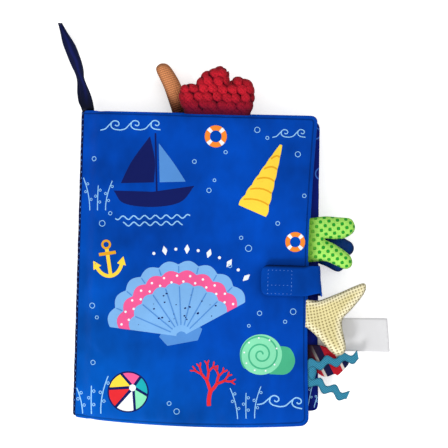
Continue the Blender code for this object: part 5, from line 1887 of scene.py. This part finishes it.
class Prints:
    """The printed faces."""

    def __init__(self, leaves: dict[str, LeafPanel]) -> None:
        """Keep the leaves that the prints lie on."""
        self.leaves = leaves

    @staticmethod
    def lay(face: PrintedFace, motifs: Sequence[tuple], bubbles: Sequence[tuple[float, float, float]] = ()) -> None:
        """Place motifs and bubbles on a face.

        Args:
            face: the face to print.
            motifs: each one's marks, X, Y, turn and size.
            bubbles: each one's X, Y and radius.
        """
        for marks, *place in motifs:
            face.add(marks, *place)
        for x, y, radius in bubbles:
            face.add([Mark(disc(0, 0, radius), Ink.PALE, 0.5, True)], x, y)

    def front(self) -> Piece:
        """The front cover's picture."""
        face = PrintedFace("front_cover_print", self.leaves["front_cover"], True, COVER_INK)
        m = Motifs
        self.lay(face, (
            (m.scallop(), -10, -52, 12), (m.garland(68.0, -20.0, 46.0), -10, -52, 0), (m.boat(), -36, 68, 3, 1.12),
            (m.waves(2, 58), -35, 40, 3), (m.turret(), 52, 72, -22, 1.12), (m.whorl(), 52, -64, 6, 0.96),
            (m.anchor(), -68, 4, 10, 0.82), (m.coral(), 14, -90, -4, 0.94), (m.ball(), -50, -96, -8, 0.94),
            (m.lifebuoy(), 12, 104, 0, 0.80), (m.lifebuoy(), 76, 24, 0, 0.72), (m.curls(3), -54, 107, 2, 1.15),
            (m.curls(2), 68, -104, -4, 1.3), (m.grass(3, 30.0), -78, -114, 4, 1.05),
            (m.grass(4, 26.0), 42, -114, 4, 0.95), (m.grass(9, 30.0), -78, 44, 2, 0.9), (m.curls(2), 69, 105, 2, 0.95),
        ), (
            (-74, 34, 2.2), (-68, 42, 1.3), (8, 62, 1.7), (12, 70, 1.1), (26, 4, 1.4), (62, 38, 1.5), (40, 18, 2.4),
            (34, 26, 1.3), (-80, -30, 2.0), (-76, -39, 1.2), (50, -32, 1.7), (76, -30, 2.2), (70, -38, 1.3),
            (-4, 84, 1.5), (44, 110, 2.1), (52, 104, 1.2), (-78, -74, 1.7), (-18, -104, 1.5), (-12, -110, 2.1),
            (76, 92, 2.0), (82, 60, 1.4), (20, 92, 1.3), (-82, 84, 1.6), (42, -42, 1.1),
        ))
        return face.build("front_cover")

    def back(self) -> Piece:
        """The back cover's quieter picture."""
        face = PrintedFace("back_cover_print", self.leaves["back_cover"], False, COVER_INK)
        m = Motifs
        self.lay(face, (
            (m.waves(3, 90), 0, 70), (m.scallop(), -2, -30, -10, 0.7), (m.lifebuoy(), 52, 40, 14, 1.1),
            (m.coral(3.0, 8), -52, -82, 6, 1.0), (m.ball(), 42, -84, 8, 0.8), (m.grass(5, 20.0), -72, -114, 4, 0.9),
            (m.grass(7, 20.0), 72, -114, -4, 0.9), (m.curls(4), 0, 104, 0, 0.9),
        ), ((-56, 44, 2.2), (-48, 52, 1.5), (62, -10, 2.0), (-66, -20, 1.8), (8, 34, 1.6), (24, 90, 2.0)))
        return face.build("back_cover")

    def pages(self) -> None:
        """A few large shapes on each inside face."""
        m = Motifs
        plan = (
            ("back_cover", True, (("coral", -40, -50, 0, 1.5), ("waves", 0, 80, 0, 1.6),
                                  ("lifebuoy", 44, -60, 12, 1.8))),
            ("leaf_two", False, (("whorl", -20, 30, 0, 1.7), ("grass", 50, -90, 0, 1.6))),
            ("leaf_two", True, (("anchor", 10, 20, 0, 2.4), ("grass", -50, -90, 0, 1.6),
                                ("lifebuoy", 50, -60, 0, 1.5))),
            ("leaf_one", False, (("ball", 0, 10, 0, 2.4), ("coral", 52, -70, 0, 1.1))),
            ("leaf_one", True, (("boat", -10, 20, 0, 1.7), ("waves", -10, -22, 0, 1.7), ("grass", 40, -96, 0, 1.2),
                                ("curls", 88, -88, 82, 0.9), ("grass", 90, -104, -8, 0.7))),
            ("front_cover", False, (("turret", 0, 10, 20, 2.2), ("lifebuoy", -50, -60, 10, 1.6),
                                    ("curls", 0, 90, 0, 1.6))),
        )
        for leaf, above, motifs in plan:
            side = "face" if above else "reverse"
            face = PrintedFace(f"{leaf}_{side}_page_print", self.leaves[leaf], above, COVER_INK)
            self.lay(face, [(getattr(m, name)(), *place) for name, *place in motifs])
            face.build(leaf)


class Book:
    """The whole book."""

    def __init__(self) -> None:
        """Set up the leaves and the stitch tree."""
        self.tree = StitchTree()
        self.leaves = {
            "back_cover": LeafPanel("back_cover", 0, PAGE_CLOTH, COVER_CLOTH, seed=11, head_radius=0.0045,
                                    foot_radius=0.0060),
            "leaf_two": LeafPanel("leaf_two", 1, PAGE_CLOTH, PAGE_CLOTH, seed=21),
            "leaf_one": LeafPanel("leaf_one", 2, PAGE_CLOTH, PAGE_CLOTH, seed=31),
            "front_cover": LeafPanel("front_cover", 3, COVER_CLOTH, PAGE_CLOTH, step=0.003, pucker=0.0009,
                                     seed=41, head_radius=0.0045, foot_radius=0.0060, spare=0.0004),
        }

    def build(self) -> None:
        """Make every piece in order."""
        for name, leaf in self.leaves.items():
            leaf.build()
            leaf.dress(name, "cover" if name.endswith("cover") else "page")
            tell(leaf.shell)
        self.seams()
        Strap(self.tree).build()
        CarryingLoop().build()
        Trimmings().build()
        prints = Prints(self.leaves)
        prints.front()
        prints.back()
        prints.pages()
        self.fastenings()

    def seams(self) -> None:
        """The spine's binding and its stitches."""
        tell(SpineBinding().build())
        low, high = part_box("spine_piping")
        y = np.arange(low.y + 0.003, high.y - 0.002, 0.0008)
        x = BOOK.seam_x - 0.0002 + 0.0002 * np.sin(y * 190)
        row = np.column_stack([x, y, np.full(len(y), high.z)])
        Stitching("spine_stitches", PALE_THREAD, 0.0017, 0.0028, 0.00026, 2, self.tree).sew([row], "back_cover")

    def fastenings(self) -> None:
        """The hook and loop patches."""
        for node, body, up in (("hook_patch", "strap_tongue", False), ("loop_patch", "front_cover", True)):
            TapePatch(node, body, up, self.tree).build()


@dataclass
class Studio:
    """A pale floor, soft lamps and a camera straight above."""

    scale: float = 0.000775
    pixels: int = 448
    turn: float = 1.7
    centre: tuple[float, float] = (0.0204, 0.0363)
    lens: float = 150.0
    sensor: float = 36.0
    plane_z: float = 0.0257
    floor_half: float = 3.0
    floor_drop: float = 0.0006

    def build(self) -> None:
        """Set the floor, the lamps, the world and the camera."""
        data = bpy.data.cameras.new("camera")
        data.lens, data.sensor_width, data.clip_end = self.lens, self.sensor, 20.0
        camera = add_object("camera", data)
        distance = self.scale * self.pixels * self.lens / self.sensor
        camera.location = (*self.centre, self.plane_z + distance)
        camera.rotation_euler = Euler((0, 0, math.radians(self.turn)))
        bpy.context.scene.camera = camera
        self.floor()
        lamps = (("key", (-0.75, -1.2, 1.05), 17.0, 0.4), ("fill", (0.9, 0.7, 1.6), 5.0, 1.4))
        for name, place, energy, spread in lamps:
            lamp = bpy.data.lights.new(name, "AREA")
            lamp.energy, lamp.size = energy, spread
            obj = add_object(name, lamp)
            obj.location = place
            obj.rotation_euler = (Vector((0, 0, 0)) - Vector(place)).to_track_quat("-Z", "Y").to_euler()
        world = bpy.context.scene.world or bpy.data.worlds.new("world")
        bpy.context.scene.world = world
        world.use_nodes = True
        world.node_tree.nodes["Background"].inputs[0].default_value = (1, 1, 1, 1)
        world.node_tree.nodes["Background"].inputs[1].default_value = 0.70
        bpy.context.scene.view_settings.view_transform = "Standard"

    def floor(self) -> None:
        """A white floor that keeps the book's shadow."""
        g = Graph("floor_white")
        g.shader.inputs["Base Color"].default_value = (0.9, 0.9, 0.9, 1)
        g.shader.inputs["Roughness"].default_value = 0.9
        seen = g.times(g.node("ShaderNodeLightPath").outputs["Is Camera Ray"], 0.50)
        glow = g.node("ShaderNodeEmission", named={"Color": (1, 1, 1, 1), "Strength": seen})
        both = g.node("ShaderNodeAddShader", g.shader.outputs[0], glow.outputs[0])
        g.feed(g.tree.nodes["Material Output"].inputs["Surface"], both.outputs[0])
        half = self.floor_half
        mesh = bpy.data.meshes.new("floor")
        corners = [(x * half, y * half, -self.floor_drop) for x, y in ((-1, -1), (1, -1), (1, 1), (-1, 1))]
        mesh.from_pydata(corners, [], [(0, 1, 2, 3)])
        mesh.materials.append(g.material)
        add_object("floor", mesh)


def main() -> None:
    """Build the book and its studio."""
    logging.basicConfig(level=logging.INFO, format="%(name)s %(message)s")
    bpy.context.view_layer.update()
    Studio().build()
    Book().build()
    bpy.context.view_layer.update()


if __name__ == "__main__":
    main()
